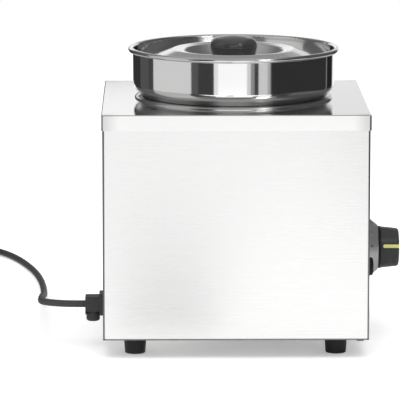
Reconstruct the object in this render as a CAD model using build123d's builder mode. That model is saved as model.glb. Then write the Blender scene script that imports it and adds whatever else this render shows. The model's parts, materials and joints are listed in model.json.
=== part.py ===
"""Electrically heated, insulated food container: a round pot with a lid, hung in a water bath.

Frame: the floor under the feet is z = 0, +Z is up, +X is the control side, -X is the side that the
mains cord leaves. The pieces are drawn round the casing's middle, and moved along X as they are
written, so that the origin is under the middle of the object without its cord. Sizes are in mm.
"""
import os
from math import atan, cos, degrees, pi, radians, sin, sqrt, tan

from build123d import *

os.makedirs("parts", exist_ok=True)

# Casing sheet metal
casing_width = 265.0
casing_height = 224.6
sheet = 0.8
cap_skirt = 15.6
cap_slip = 0.2
cap_edge_round = 1.2
bend_radius = 2.0
flange_width = 14.0
base_thick = 1.0
base_gap = 0.5
vent_length = 34.0
vent_width = 4.0
vent_pitch = 12.0
vent_count = 5

# Feet and the fasteners under the base
foot_height = 19.2
foot_top_radius = 11.5
foot_bottom_radius = 10.15
foot_edge_round = 1.0
foot_inset = 32.5
foot_recess_radius = 5.5
foot_recess_depth = 12.0
foot_screw_radius = 2.0
foot_screw_head_radius = 4.0
foot_screw_head_height = 2.4
foot_nut_flats = 7.0
foot_nut_height = 3.2
screw_clearance = 0.2
base_screw_radius = 1.8
base_screw_head_radius = 3.6
base_screw_head_height = 1.2
base_screw_length = 8.0
base_screw_reach = 60.0
bonding_screw_radius = 2.5
bonding_head_radius = 3.9
bonding_head_height = 1.9
bonding_screw_length = 12.0
bonding_edge_distance = 8.3

# Collar ring on the cap
collar_clearance = 0.8
collar_width = 7.4
collar_height = 2.9
collar_lip = 0.8
collar_lip_depth = 4.0
collar_slip = 0.3

# Food pot
pot_draft = 1.8
pot_bottom_round = 12.0
pot_depth_below_cap = 131.0
pot_neck_round = 3.0
pot_shoulder_start = 1.6
pot_shoulder_width = 9.7
pot_wall_flare = 0.3
pot_shoulder_round = 10.5
pot_rim_height = 52.0
pot_bead_radius = 2.4
pot_bead_roll = 1.8
seat_gap = 0.3

# Lid, its knob and their fasteners
lid_gap = 2.3
lid_crest_height = 50.2
lid_crest_outer = 60.5
lid_crest_dip = 1.6
lid_crest_inner = 50.3
lid_recess_radius = 45.5
lid_recess_height = 38.0
lid_slope = 20.0
lid_recess_round = 3.0
lid_inner_crest_round = 2.5
lid_outer_crest_round = 8.0
lid_skirt_round = 3.0
lid_knob_base_radius = 20.9
lid_knob_radius = 25.1
lid_knob_height = 25.1
lid_knob_crown = 4.5
lid_knob_edge_round = 8.0
lid_screw_radius = 2.0
lid_screw_reach = 12.0
lid_screw_head_radius = 3.8
lid_screw_head_height = 2.6
lid_washer_radius = 7.0
lid_washer_thick = 1.0

# Water tank, its gasket, studs and insulation
bath_gap = 5.0
bath_depth = 15.0
tank_bottom_round = 8.0
tank_flange_gap = 2.7
tank_flange_round = 2.5
gasket_thick = 1.0
tank_stud_count = 6
tank_stud_edge_distance = 6.5
tank_stud_land_width = 10.3
tank_stud_radius = 2.0
tank_stud_length = 9.0
tank_nut_flats = 7.0
tank_nut_height = 3.2
jacket_thick = 15.7
jacket_gap = 0.3
jacket_top_gap = 0.7
jacket_bottom_gap = 10.3

# Heater under the tank
heater_tube_radius = 4.0
heater_inset = 32.2
heater_gap_angle = 16.0
heater_leg_gap = 16.0
heater_seat_gap = 0.1
clamp_plate_overhang = 10.0
clamp_plate_thick = 1.5
clamp_slot = 12.0
clamp_stud_radius = 3.0
clamp_stud_length = 20.0
clamp_nut_flats = 10.0
clamp_nut_height = 5.0
thread_clearance = 0.05
bulb_radius = 3.0
bulb_length = 40.0
bulb_start = 15.0
capillary_radius = 1.0
cutout_radius = 8.0
cutout_height = 16.0
cutout_inset = 25.0

# Thermostat, bezel and control knob on the +X wall
dial_height = 88.2
thermostat_depth = 30.0
thermostat_width = 44.0
thermostat_height = 34.0
thermostat_edge_round = 2.0
thermostat_screw_spacing = 28.0
thermostat_screw_radius = 2.0
thermostat_screw_head_radius = 3.5
thermostat_screw_head_height = 2.0
thermostat_screw_length = 8.0
spindle_radius = 3.0
spindle_tail = 20.0
spindle_fit = 0.05
spindle_hole_radius = 5.0
spindle_end_gap = 1.0
bezel_base_radius = 34.5
bezel_edge = 1.3
bezel_top_radius = 23.0
bezel_height = 15.5
bezel_wall = 2.0
bezel_peg_radius = 1.5
bezel_peg_circle = 29.0
bezel_peg_reach = 4.2
bezel_clip_radius = 4.0
bezel_clip_thick = 1.0
knob_gap = 0.6
knob_length = 20.9
knob_base_radius = 21.5
knob_end_radius = 19.3
knob_end_round = 3.0
knob_wall = 3.0
knob_top_thick = 7.0
knob_boss_radius = 8.0
knob_bore_depth = 13.0
pointer_width = 3.5
pointer_depth = 1.0
pointer_start = 4.2
pointer_inner_radius = 5.0
pointer_rest_angle = 12.0

# Pilot lamp beside the dial
lamp_offset = 52.0
lamp_height = 77.7
lamp_bezel_radius = 9.1
lamp_bezel_height = 8.2
lamp_bezel_round = 2.2
lamp_lens_height = 8.8
lamp_lens_crown = 1.2
lamp_body_radius = 5.8
lamp_body_depth = 23.0
lamp_body_front = 1.5
lamp_fit = 0.1
lamp_nut_flats = 15.0
lamp_nut_height = 3.0

# Cord grip on the -X wall
grip_offset = 60.0
cord_height = 41.5
grip_flange_thick = 4.6
grip_flange_width = 26.0
grip_flange_height = 22.0
grip_flange_rise = 0.7
grip_flange_round = 3.0
grip_block_length = 14.2
grip_block_width = 20.0
grip_block_height = 18.3
grip_block_drop = 0.75
grip_block_round = 2.0
grip_neck_radius = 8.0
grip_neck_length = 11.5
grip_clamp_radius = 6.85
grip_clamp_setback = 7.8
grip_clamp_drop = 17.1
grip_clamp_round = 2.5
grip_slot_width = 1.6
grip_slot_depth = 2.0
grip_notch_rise = 3.5
grip_nut_flats = 24.0
grip_nut_height = 5.0

# Wiring on the base plate
terminal_width = 20.0
terminal_length = 44.0
terminal_height = 28.0
terminal_distance = 47.5
terminal_pole_pitch = 12.0
terminal_well_radius = 3.0
terminal_well_depth = 6.0
terminal_screw_radius = 1.5
terminal_screw_head_radius = 2.8
terminal_screw_head_height = 2.0
lead_radius = 1.3
lead_bend = 7.0
lead_level = 41.5
lead_entry_depth = 10.0
lead_entry_edge = 4.4
earth_stud_x = -40.0
earth_stud_y = -20.0
earth_stud_radius = 2.0
earth_stud_length = 14.0
earth_nut_flats = 7.0
earth_nut_height = 3.2

# Mains cord, coil, tie and plug
cord_radius = 3.5
cord_fit = 0.05
bend_share = 0.49
coil_pitch = 7.6
coil_inner_radius = 27.0
coil_turns_in = 2
coil_layer = 7.6
coil_heading = 135.0
tie_thick = 0.8
tie_width = 9.0
tie_gap = 0.3
tie_angle = 270.0
sample_count = 1200
plug_radius = 19.5
plug_height = 24.0
plug_round = 3.0
plug_boot_length = 28.0
plug_boot_radius = 6.5
plug_boot_tip_radius = 4.6
plug_pin_radius = 2.4
plug_pin_length = 19.0
plug_pin_spacing = 19.0
plug_pin_seat = 6.0

# Levels and places that follow from the sizes above
casing_bottom = foot_height - sheet
cap_top = casing_bottom + casing_height
cap_under = cap_top - sheet
wrap_width = casing_width - 2 * (sheet + cap_slip)
wrap_height = cap_under - casing_bottom
wall_outer = wrap_width / 2
wall_inner = wall_outer - sheet
base_top = foot_height + base_thick
base_width = 2 * (wall_inner - base_gap)
foot_reach = casing_width / 2 - foot_inset
flange_middle = wall_outer - flange_width / 2
tank_flange_radius = wall_inner - flange_width - tank_flange_gap
tank_stud_circle_radius = tank_flange_radius - tank_stud_edge_distance
tank_radius = tank_stud_circle_radius - tank_stud_land_width
tank_flange_top = cap_under - gasket_thick
pot_bottom = cap_top - pot_depth_below_cap
pot_neck_radius = tank_radius - bath_gap
pot_bottom_radius = pot_neck_radius - pot_draft
pot_wall_radius = pot_neck_radius + pot_shoulder_width
collar_bore_radius = pot_neck_radius + collar_clearance
collar_outer_radius = collar_bore_radius + collar_width
cap_hole_radius = collar_bore_radius + collar_lip + collar_slip
tank_floor = pot_bottom - bath_depth
tank_under = tank_floor - sheet
heater_ring_radius = tank_radius - heater_inset
clamp_plate_radius = heater_ring_radius + clamp_plate_overhang
cutout_offset = heater_ring_radius - cutout_inset
bezel_top = wall_outer + bezel_height
knob_base = bezel_top + knob_gap
knob_end = knob_base + knob_length
grip_flange_face = -wall_outer - grip_flange_thick
grip_face = grip_flange_face - grip_block_length
frame_middle = (knob_end + grip_face) / 2
lamp_place = (wall_outer, -lamp_offset, lamp_height)
dial_axis = Axis((0, 0, dial_height), (1, 0, 0))
dial_plane = Plane((0, 0, dial_height), x_dir=(1, 0, 0), z_dir=(0, -1, 0))
lamp_axis = Axis((0, -lamp_offset, lamp_height), (1, 0, 0))
lamp_plane = Plane((0, -lamp_offset, lamp_height), x_dir=(1, 0, 0), z_dir=(0, -1, 0))


def wall_plane(x, y, z):
    """A sketch plane square to the X axis, facing +X, with its own x along +Y and y along +Z."""
    return Plane((x, y, z), x_dir=(0, 1, 0), z_dir=(1, 0, 0))


def in_frame(part):
    """The part, moved from the casing's middle to the middle of the whole object without its cord."""
    return part.moved(Location((-frame_middle, 0, 0)))


def level(z, x=0.0, y=0.0):
    """A level sketch plane at height z."""
    return Plane((x, y, z))


# Top cap: the lid of the casing, a square sheet with a folded skirt and a round opening
with BuildPart() as top_cap:
    with BuildSketch(level(cap_top - cap_skirt)):
        RectangleRounded(casing_width, casing_width, bend_radius)
    extrude(amount=cap_skirt)
    fillet(top_cap.faces().sort_by(Axis.Z)[-1].edges(), cap_edge_round)
    with BuildSketch(level(cap_top - cap_skirt)):
        RectangleRounded(casing_width - 2 * sheet, casing_width - 2 * sheet, bend_radius - sheet)
    extrude(amount=cap_skirt - sheet, mode=Mode.SUBTRACT)
    with BuildSketch(level(cap_under)):
        Circle(cap_hole_radius)
    extrude(amount=sheet, mode=Mode.SUBTRACT)
top_cap.part.label = "top_cap"
export_step(in_frame(top_cap.part), "parts/top_cap.step")

base_screw_places = []
for side in (-1, 1):
    for reach in (-base_screw_reach, base_screw_reach):
        base_screw_places.append((side * flange_middle, reach))
        base_screw_places.append((reach, side * flange_middle))
foot_places = {
    "foot_front_left": (-foot_reach, -foot_reach),
    "foot_front_right": (foot_reach, -foot_reach),
    "foot_rear_left": (-foot_reach, foot_reach),
    "foot_rear_right": (foot_reach, foot_reach),
}
bonding_place = (wall_outer - bonding_edge_distance, -flange_middle)
thermostat_screw_places = [
    (0, thermostat_screw_spacing / 2),
    (0, -thermostat_screw_spacing / 2),
]
bezel_peg_places = [(bezel_peg_circle, 0), (-bezel_peg_circle, 0)]

# Body wrap: four walls bent from one sheet, turned in at the top and the bottom
with BuildPart() as body_wrap:
    with BuildSketch(level(casing_bottom)):
        RectangleRounded(wrap_width, wrap_width, bend_radius)
    extrude(amount=wrap_height)
    with BuildSketch(level(casing_bottom + sheet)):
        RectangleRounded(2 * wall_inner, 2 * wall_inner, bend_radius - sheet)
    extrude(amount=wrap_height - 2 * sheet, mode=Mode.SUBTRACT)
    with BuildSketch(level(casing_bottom)):
        Rectangle(wrap_width - 2 * flange_width, wrap_width - 2 * flange_width)
    extrude(amount=wrap_height, mode=Mode.SUBTRACT)
    with BuildSketch(level(casing_bottom)):
        with Locations(*base_screw_places):
            Circle(base_screw_radius + screw_clearance)
        with Locations(bonding_place):
            Circle(bonding_screw_radius + screw_clearance)
    extrude(amount=sheet, mode=Mode.SUBTRACT)
    with BuildSketch(wall_plane(wall_inner, 0, dial_height)):
        Circle(spindle_hole_radius)
        with Locations(*thermostat_screw_places):
            Circle(thermostat_screw_radius + screw_clearance)
        with Locations(*bezel_peg_places):
            Circle(bezel_peg_radius + screw_clearance)
    extrude(amount=sheet, mode=Mode.SUBTRACT)
    with BuildSketch(wall_plane(wall_inner, -lamp_offset, lamp_height)):
        Circle(lamp_body_radius + lamp_fit)
    extrude(amount=sheet, mode=Mode.SUBTRACT)
    with BuildSketch(wall_plane(-wall_outer, -grip_offset, cord_height)):
        Circle(grip_neck_radius + screw_clearance)
    extrude(amount=sheet, mode=Mode.SUBTRACT)
body_wrap.part.label = "body_wrap"
export_step(in_frame(body_wrap.part), "parts/body_wrap.step")

# Base plate: lies on the turned-in flange of the wrap, with vents under the heater
with BuildPart() as base_plate:
    with BuildSketch(level(foot_height)):
        RectangleRounded(base_width, base_width, bend_radius)
        with GridLocations(vent_length + vent_pitch, vent_pitch, 2, vent_count):
            SlotOverall(vent_length, vent_width, mode=Mode.SUBTRACT)
        with Locations(*foot_places.values()):
            Circle(foot_screw_radius + screw_clearance, mode=Mode.SUBTRACT)
        with Locations(*base_screw_places):
            Circle(base_screw_radius + screw_clearance, mode=Mode.SUBTRACT)
        with Locations(bonding_place):
            Circle(bonding_screw_radius + screw_clearance, mode=Mode.SUBTRACT)
    extrude(amount=base_thick)
base_plate.part.label = "base_plate"
export_step(in_frame(base_plate.part), "parts/base_plate.step")

# Rubber feet: tapered, with a recess for the screw head
foot_taper = degrees(atan((foot_top_radius - foot_bottom_radius) / foot_height))
for foot_name, (foot_x, foot_y) in foot_places.items():
    with BuildPart() as foot:
        with BuildSketch(level(0, foot_x, foot_y)):
            Circle(foot_bottom_radius)
        extrude(amount=foot_height, taper=-foot_taper)
        fillet(foot.faces().sort_by(Axis.Z)[0].edges(), foot_edge_round)
        with BuildSketch(level(0, foot_x, foot_y)):
            Circle(foot_recess_radius)
        extrude(amount=foot_recess_depth, mode=Mode.SUBTRACT)
        with BuildSketch(level(0, foot_x, foot_y)):
            Circle(foot_screw_radius + screw_clearance)
        extrude(amount=foot_height, mode=Mode.SUBTRACT)
    foot.part.label = foot_name
    export_step(in_frame(foot.part), f"parts/{foot_name}.step")

foot_screw_top = base_top + foot_nut_height + foot_screw_radius / 2
with BuildPart() as foot_screws:
    with BuildSketch(level(foot_recess_depth)):
        with Locations(*foot_places.values()):
            Circle(foot_screw_head_radius)
    extrude(amount=-foot_screw_head_height)
    with BuildSketch(level(foot_recess_depth)):
        with Locations(*foot_places.values()):
            Circle(foot_screw_radius)
    extrude(amount=foot_screw_top - foot_recess_depth)
foot_screws.part.label = "foot_screws"
export_step(in_frame(foot_screws.part), "parts/foot_screws.step")

with BuildPart() as foot_nuts:
    with BuildSketch(level(base_top)):
        with Locations(*foot_places.values()):
            RegularPolygon(foot_nut_flats / 2, 6, major_radius=False)
            Circle(foot_screw_radius + thread_clearance, mode=Mode.SUBTRACT)
    extrude(amount=foot_nut_height)
foot_nuts.part.label = "foot_nuts"
export_step(in_frame(foot_nuts.part), "parts/foot_nuts.step")

with BuildPart() as base_screws:
    with BuildSketch(level(casing_bottom)):
        with Locations(*base_screw_places):
            Circle(base_screw_head_radius)
    extrude(amount=-base_screw_head_height)
    with BuildSketch(level(casing_bottom)):
        with Locations(*base_screw_places):
            Circle(base_screw_radius)
    extrude(amount=base_screw_length)
base_screws.part.label = "base_screws"
export_step(in_frame(base_screws.part), "parts/base_screws.step")

# Bonding terminal: the screw under the front right corner, where a site earth wire is fixed
with BuildPart() as bonding_screw:
    with BuildSketch(level(casing_bottom, *bonding_place)):
        RegularPolygon(bonding_head_radius, 6)
    extrude(amount=-bonding_head_height)
    with BuildSketch(level(casing_bottom, *bonding_place)):
        Circle(bonding_screw_radius)
    extrude(amount=bonding_screw_length)
bonding_screw.part.label = "bonding_screw"
export_step(in_frame(bonding_screw.part), "parts/bonding_screw.step")

# Food pot: its 45 degree shoulder stands on the collar, its wall ends in a rolled rim
pot_shoulder_level = cap_top + pot_shoulder_start
pot_wall_bottom = pot_shoulder_level + pot_wall_radius - pot_neck_radius
pot_wall_top_radius = pot_wall_radius + pot_wall_flare
pot_rim_under = cap_top + pot_rim_height - sheet
pot_bead_centre = (
    pot_wall_top_radius + pot_bead_radius - sheet / 4,
    cap_top + pot_rim_height - pot_bead_radius,
)
with BuildPart() as food_pot:
    with BuildSketch(Plane.XZ):
        with BuildLine():
            FilletPolyline(
                (0, pot_bottom),
                (pot_bottom_radius, pot_bottom),
                (pot_neck_radius, pot_shoulder_level),
                (pot_wall_radius, pot_wall_bottom),
                (pot_wall_top_radius, pot_rim_under),
                (pot_bead_centre[0], pot_rim_under),
                radius=(pot_bottom_round, pot_neck_round, pot_shoulder_round, pot_bead_roll),
            )
            offset(amount=sheet, side=Side.LEFT)
        make_face()
        with Locations(pot_bead_centre):
            Circle(pot_bead_radius)
    revolve(axis=Axis.Z)
food_pot.part.label = "food_pot"
export_step(in_frame(food_pot.part), "parts/food_pot.step")

# Collar ring: a half-round bead on the cap, coned inside where the pot's shoulder stands on it
cone_shift = seat_gap * sqrt(2)
collar_cone_start = cap_top + pot_shoulder_start + collar_bore_radius - pot_neck_radius - cone_shift
collar_top = cap_top + collar_height
collar_crest_inner = collar_bore_radius + collar_top - collar_cone_start
collar_lip_bottom = cap_top - collar_lip_depth
with BuildPart() as collar_ring:
    with BuildSketch(Plane.XZ):
        with BuildLine():
            Polyline(
                (collar_outer_radius, cap_top),
                (collar_bore_radius + collar_lip, cap_top),
                (collar_bore_radius + collar_lip, collar_lip_bottom),
                (collar_bore_radius, collar_lip_bottom),
                (collar_bore_radius, collar_cone_start),
                (collar_crest_inner, collar_top),
                (collar_outer_radius - collar_height, collar_top),
            )
            RadiusArc(
                (collar_outer_radius - collar_height, collar_top),
                (collar_outer_radius, cap_top),
                collar_height,
            )
        make_face()
    revolve(axis=Axis.Z)
collar_ring.part.label = "collar_ring"
export_step(in_frame(collar_ring.part), "parts/collar_ring.step")

# Lid: a dished sheet whose skirt drops onto the inside of the pot's shoulder
lid_radius = pot_wall_radius - sheet - lid_gap
pot_inner_round = pot_shoulder_round - sheet
pot_inner_corner = pot_wall_bottom + sheet * tan(radians(22.5))
round_centre = (
    pot_wall_radius - sheet - pot_inner_round,
    pot_inner_corner + pot_inner_round * tan(radians(22.5)),
)
seat_level = round_centre[1] - sqrt(pot_inner_round**2 - (lid_radius - round_centre[0])**2)
lid_bottom = seat_level + seat_gap * sqrt(2)
lid_edge_height = lid_crest_height - (lid_radius - lid_crest_outer) * tan(radians(lid_slope))
lid_recess = cap_top + lid_recess_height
with BuildPart() as lid_shell:
    with BuildSketch(Plane.XZ):
        with BuildLine():
            FilletPolyline(
                (0, lid_recess),
                (lid_recess_radius, lid_recess),
                (lid_crest_inner, cap_top + lid_crest_height - lid_crest_dip),
                (lid_crest_outer, cap_top + lid_crest_height),
                (lid_radius, cap_top + lid_edge_height),
                (lid_radius, lid_bottom),
                radius=(lid_recess_round, lid_inner_crest_round, lid_outer_crest_round, lid_skirt_round),
            )
            offset(amount=sheet, side=Side.RIGHT)
        make_face()
    revolve(axis=Axis.Z)
    with BuildSketch(level(lid_recess)):
        Circle(lid_screw_radius + screw_clearance)
    extrude(amount=-sheet, mode=Mode.SUBTRACT)
lid_shell.part.label = "lid_shell"
export_step(in_frame(lid_shell.part), "parts/lid_shell.step")

knob_shoulder = lid_recess + lid_knob_height - lid_knob_crown
crown_radius = (lid_knob_radius**2 + lid_knob_crown**2) / (2 * lid_knob_crown)
with BuildPart() as lid_knob:
    with BuildSketch(Plane.XZ) as lid_knob_half:
        with BuildLine():
            Polyline(
                (0, lid_recess + lid_knob_height),
                (0, lid_recess),
                (lid_knob_base_radius, lid_recess),
                (lid_knob_radius, knob_shoulder),
            )
            RadiusArc((0, lid_recess + lid_knob_height), (lid_knob_radius, knob_shoulder), crown_radius)
        make_face()
        fillet(lid_knob_half.vertices().sort_by(Axis.X)[-1], lid_knob_edge_round)
    revolve(axis=Axis.Z)
    with BuildSketch(level(lid_recess)):
        Circle(lid_screw_radius + thread_clearance)
    extrude(amount=lid_screw_reach + screw_clearance, mode=Mode.SUBTRACT)
lid_knob.part.label = "lid_knob"
export_step(in_frame(lid_knob.part), "parts/lid_knob.step")

lid_washer_bottom = lid_recess - sheet - lid_washer_thick
with BuildPart() as lid_washer:
    with BuildSketch(level(lid_washer_bottom)):
        Circle(lid_washer_radius)
        Circle(lid_screw_radius + screw_clearance, mode=Mode.SUBTRACT)
    extrude(amount=lid_washer_thick)
lid_washer.part.label = "lid_washer"
export_step(in_frame(lid_washer.part), "parts/lid_washer.step")

with BuildPart() as lid_screw:
    with BuildSketch(level(lid_washer_bottom)):
        Circle(lid_screw_head_radius)
    extrude(amount=-lid_screw_head_height)
    with BuildSketch(level(lid_washer_bottom)):
        Circle(lid_screw_radius)
    extrude(amount=lid_recess + lid_screw_reach - lid_washer_bottom)
lid_screw.part.label = "lid_screw"
export_step(in_frame(lid_screw.part), "parts/lid_screw.step")

# Water tank: hangs under the cap on a gasket, held by studs welded to the cap
with BuildPart() as water_tank:
    with BuildSketch(Plane.XZ):
        with BuildLine():
            FilletPolyline(
                (0, tank_floor),
                (tank_radius, tank_floor),
                (tank_radius, tank_flange_top),
                (tank_flange_radius, tank_flange_top),
                radius=(tank_bottom_round, tank_flange_round),
            )
            offset(amount=sheet, side=Side.RIGHT)
        make_face()
    revolve(axis=Axis.Z)
    with BuildSketch(level(tank_flange_top)):
        with PolarLocations(tank_stud_circle_radius, tank_stud_count):
            Circle(tank_stud_radius + screw_clearance)
    extrude(amount=-sheet, mode=Mode.SUBTRACT)
water_tank.part.label = "water_tank"
export_step(in_frame(water_tank.part), "parts/water_tank.step")

with BuildPart() as tank_gasket:
    with BuildSketch(level(tank_flange_top)):
        Circle(tank_flange_radius)
        Circle(tank_radius + tank_flange_round, mode=Mode.SUBTRACT)
        with PolarLocations(tank_stud_circle_radius, tank_stud_count):
            Circle(tank_stud_radius + screw_clearance, mode=Mode.SUBTRACT)
    extrude(amount=gasket_thick)
tank_gasket.part.label = "tank_gasket"
export_step(in_frame(tank_gasket.part), "parts/tank_gasket.step")

with BuildPart() as tank_studs:
    with BuildSketch(level(cap_under)):
        with PolarLocations(tank_stud_circle_radius, tank_stud_count):
            Circle(tank_stud_radius)
    extrude(amount=-tank_stud_length)
tank_studs.part.label = "tank_studs"
export_step(in_frame(tank_studs.part), "parts/tank_studs.step")

tank_flange_under = tank_flange_top - sheet
with BuildPart() as tank_nuts:
    with BuildSketch(level(tank_flange_under)):
        with PolarLocations(tank_stud_circle_radius, tank_stud_count):
            RegularPolygon(tank_nut_flats / 2, 6, major_radius=False)
            Circle(tank_stud_radius + thread_clearance, mode=Mode.SUBTRACT)
    extrude(amount=-tank_nut_height)
tank_nuts.part.label = "tank_nuts"
export_step(in_frame(tank_nuts.part), "parts/tank_nuts.step")

# Insulation jacket: mineral wool wrapped round the tank
jacket_inner_radius = tank_radius + sheet + jacket_gap
jacket_top = cap_under - tank_stud_length - jacket_top_gap
jacket_bottom = dial_height + thermostat_height / 2 + jacket_bottom_gap
with BuildPart() as insulation_jacket:
    with BuildSketch(level(jacket_top)):
        Circle(jacket_inner_radius + jacket_thick)
        Circle(jacket_inner_radius, mode=Mode.SUBTRACT)
    extrude(amount=jacket_bottom - jacket_top)
insulation_jacket.part.label = "insulation_jacket"
export_step(in_frame(insulation_jacket.part), "parts/insulation_jacket.step")

# Heater: a tubular ring under the tank floor, open towards the dial, with two terminal legs
heater_level = tank_under - heater_seat_gap - heater_tube_radius
heater_ends = []
for end_angle in (heater_gap_angle, -heater_gap_angle):
    end_x = heater_ring_radius * cos(radians(end_angle))
    end_y = heater_ring_radius * sin(radians(end_angle))
    heater_ends.append((end_x, end_y))
heater_leg_bottom = lead_level + heater_leg_gap
with BuildPart() as heater_ring:
    with BuildLine() as heater_path:
        CenterArc((0, 0, heater_level), heater_ring_radius, heater_gap_angle, 360 - 2 * heater_gap_angle)
    with BuildSketch(Plane(heater_path.line @ 0, z_dir=heater_path.line % 0)):
        Circle(heater_tube_radius)
    sweep()
    with Locations(*[(x, y, heater_level) for x, y in heater_ends]):
        Sphere(heater_tube_radius)
    with BuildSketch(level(heater_level)):
        with Locations(*heater_ends):
            Circle(heater_tube_radius)
    extrude(amount=heater_leg_bottom - heater_level)
heater_ring.part.label = "heater_ring"
export_step(in_frame(heater_ring.part), "parts/heater_ring.step")

clamp_top = heater_level - heater_tube_radius - heater_seat_gap
clamp_bottom = clamp_top - clamp_plate_thick
with BuildPart() as heater_clamp:
    with BuildSketch(level(clamp_bottom)):
        Circle(clamp_plate_radius)
        Circle(clamp_stud_radius + screw_clearance, mode=Mode.SUBTRACT)
        with Locations(*heater_ends):
            Circle(clamp_slot / 2, mode=Mode.SUBTRACT)
        with Locations((-cutout_offset, 0)):
            Circle(cutout_radius + screw_clearance, mode=Mode.SUBTRACT)
    extrude(amount=clamp_plate_thick)
heater_clamp.part.label = "heater_clamp"
export_step(in_frame(heater_clamp.part), "parts/heater_clamp.step")

with BuildPart() as clamp_stud:
    with BuildSketch(level(tank_under)):
        Circle(clamp_stud_radius)
    extrude(amount=-clamp_stud_length)
clamp_stud.part.label = "clamp_stud"
export_step(in_frame(clamp_stud.part), "parts/clamp_stud.step")

with BuildPart() as clamp_nut:
    with BuildSketch(level(clamp_bottom)):
        RegularPolygon(clamp_nut_flats / 2, 6, major_radius=False)
        Circle(clamp_stud_radius + thread_clearance, mode=Mode.SUBTRACT)
    extrude(amount=-clamp_nut_height)
clamp_nut.part.label = "clamp_nut"
export_step(in_frame(clamp_nut.part), "parts/clamp_nut.step")

with BuildPart() as thermal_cutout:
    with BuildSketch(level(tank_under, -cutout_offset)):
        Circle(cutout_radius)
    extrude(amount=-cutout_height)
thermal_cutout.part.label = "thermal_cutout"
export_step(in_frame(thermal_cutout.part), "parts/thermal_cutout.step")

# Thermostat: fixed behind the wall, its bulb under the tank, its spindle turned by the knob
thermostat_back = wall_inner - thermostat_depth
spindle_start = wall_inner - spindle_tail
with BuildPart() as thermostat_body:
    with BuildSketch(wall_plane(thermostat_back, 0, dial_height)):
        RectangleRounded(thermostat_width, thermostat_height, thermostat_edge_round)
    extrude(amount=thermostat_depth)
    with BuildSketch(wall_plane(wall_inner, 0, dial_height)):
        Circle(spindle_radius + spindle_fit)
    extrude(amount=-spindle_tail - spindle_end_gap, mode=Mode.SUBTRACT)
    with BuildSketch(wall_plane(wall_inner, 0, dial_height)):
        with Locations(*thermostat_screw_places):
            Circle(thermostat_screw_radius + thread_clearance)
    extrude(amount=-thermostat_screw_length, mode=Mode.SUBTRACT)
thermostat_body.part.label = "thermostat_body"
export_step(in_frame(thermostat_body.part), "parts/thermostat_body.step")

with BuildPart() as thermostat_screws:
    with BuildSketch(wall_plane(wall_outer, 0, dial_height)):
        with Locations(*thermostat_screw_places):
            Circle(thermostat_screw_head_radius)
    extrude(amount=thermostat_screw_head_height)
    with BuildSketch(wall_plane(wall_outer, 0, dial_height)):
        with Locations(*thermostat_screw_places):
            Circle(thermostat_screw_radius)
    extrude(amount=-thermostat_screw_length)
thermostat_screws.part.label = "thermostat_screws"
export_step(in_frame(thermostat_screws.part), "parts/thermostat_screws.step")

bulb_level = tank_under - heater_seat_gap - bulb_radius
with BuildPart() as sensor_bulb:
    with BuildSketch(wall_plane(bulb_start, 0, bulb_level)):
        Circle(bulb_radius)
    extrude(amount=bulb_length)
    with BuildSketch(wall_plane(bulb_start + bulb_length, 0, bulb_level)):
        Circle(capillary_radius)
    extrude(amount=thermostat_back - bulb_start - bulb_length)
sensor_bulb.part.label = "sensor_bulb"
export_step(in_frame(sensor_bulb.part), "parts/sensor_bulb.step")

# Dial bezel: the fixed cone behind the knob that carries the scale
bezel_slope = (bezel_base_radius - bezel_top_radius) / (bezel_height - bezel_edge)
bezel_inner_base = bezel_base_radius - bezel_wall * sqrt(1 + bezel_slope**2) + bezel_slope * bezel_edge
bezel_inner_top = bezel_inner_base - bezel_slope * (bezel_height - bezel_wall)
bezel_peg_root = bezel_edge + (bezel_base_radius - bezel_peg_circle) / bezel_slope - bezel_wall / 2
with BuildPart() as dial_bezel:
    with BuildSketch(dial_plane):
        with BuildLine():
            Polyline(
                (wall_outer, bezel_inner_base),
                (wall_outer, bezel_base_radius),
                (wall_outer + bezel_edge, bezel_base_radius),
                (bezel_top, bezel_top_radius),
                (bezel_top, spindle_hole_radius),
                (bezel_top - bezel_wall, spindle_hole_radius),
                (bezel_top - bezel_wall, bezel_inner_top),
                close=True,
            )
        make_face()
    revolve(axis=dial_axis)
    with BuildSketch(wall_plane(wall_outer + bezel_peg_root, 0, dial_height)):
        with Locations(*bezel_peg_places):
            Circle(bezel_peg_radius)
    extrude(amount=-bezel_peg_root - sheet - bezel_peg_reach)
dial_bezel.part.label = "dial_bezel"
export_step(in_frame(dial_bezel.part), "parts/dial_bezel.step")

with BuildPart() as bezel_clips:
    with BuildSketch(wall_plane(wall_inner, 0, dial_height)):
        with Locations(*bezel_peg_places):
            Circle(bezel_clip_radius)
            Circle(bezel_peg_radius + thread_clearance, mode=Mode.SUBTRACT)
    extrude(amount=-bezel_clip_thick)
bezel_clips.part.label = "bezel_clips"
export_step(in_frame(bezel_clips.part), "parts/bezel_clips.step")

# Control knob: hollow underneath, pressed on the spindle, with an inlaid pointer line
knob_inside = knob_end - knob_top_thick
spindle_end = knob_base + knob_bore_depth - spindle_end_gap


def knob_outline(inset):
    """The turned outer form of the knob, drawn in by inset all over but at its base."""
    with BuildPart() as turned:
        with BuildSketch(dial_plane):
            with BuildLine():
                Polyline(
                    (knob_base, 0),
                    (knob_base, knob_base_radius - inset),
                    (knob_end - inset, knob_end_radius - inset),
                    (knob_end - inset, 0),
                    close=True,
                )
            make_face()
        revolve(axis=dial_axis)
        fillet(turned.edges().filter_by(GeomType.CIRCLE).sort_by(Axis.X)[-1], knob_end_round - inset)
    return turned.part


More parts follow.
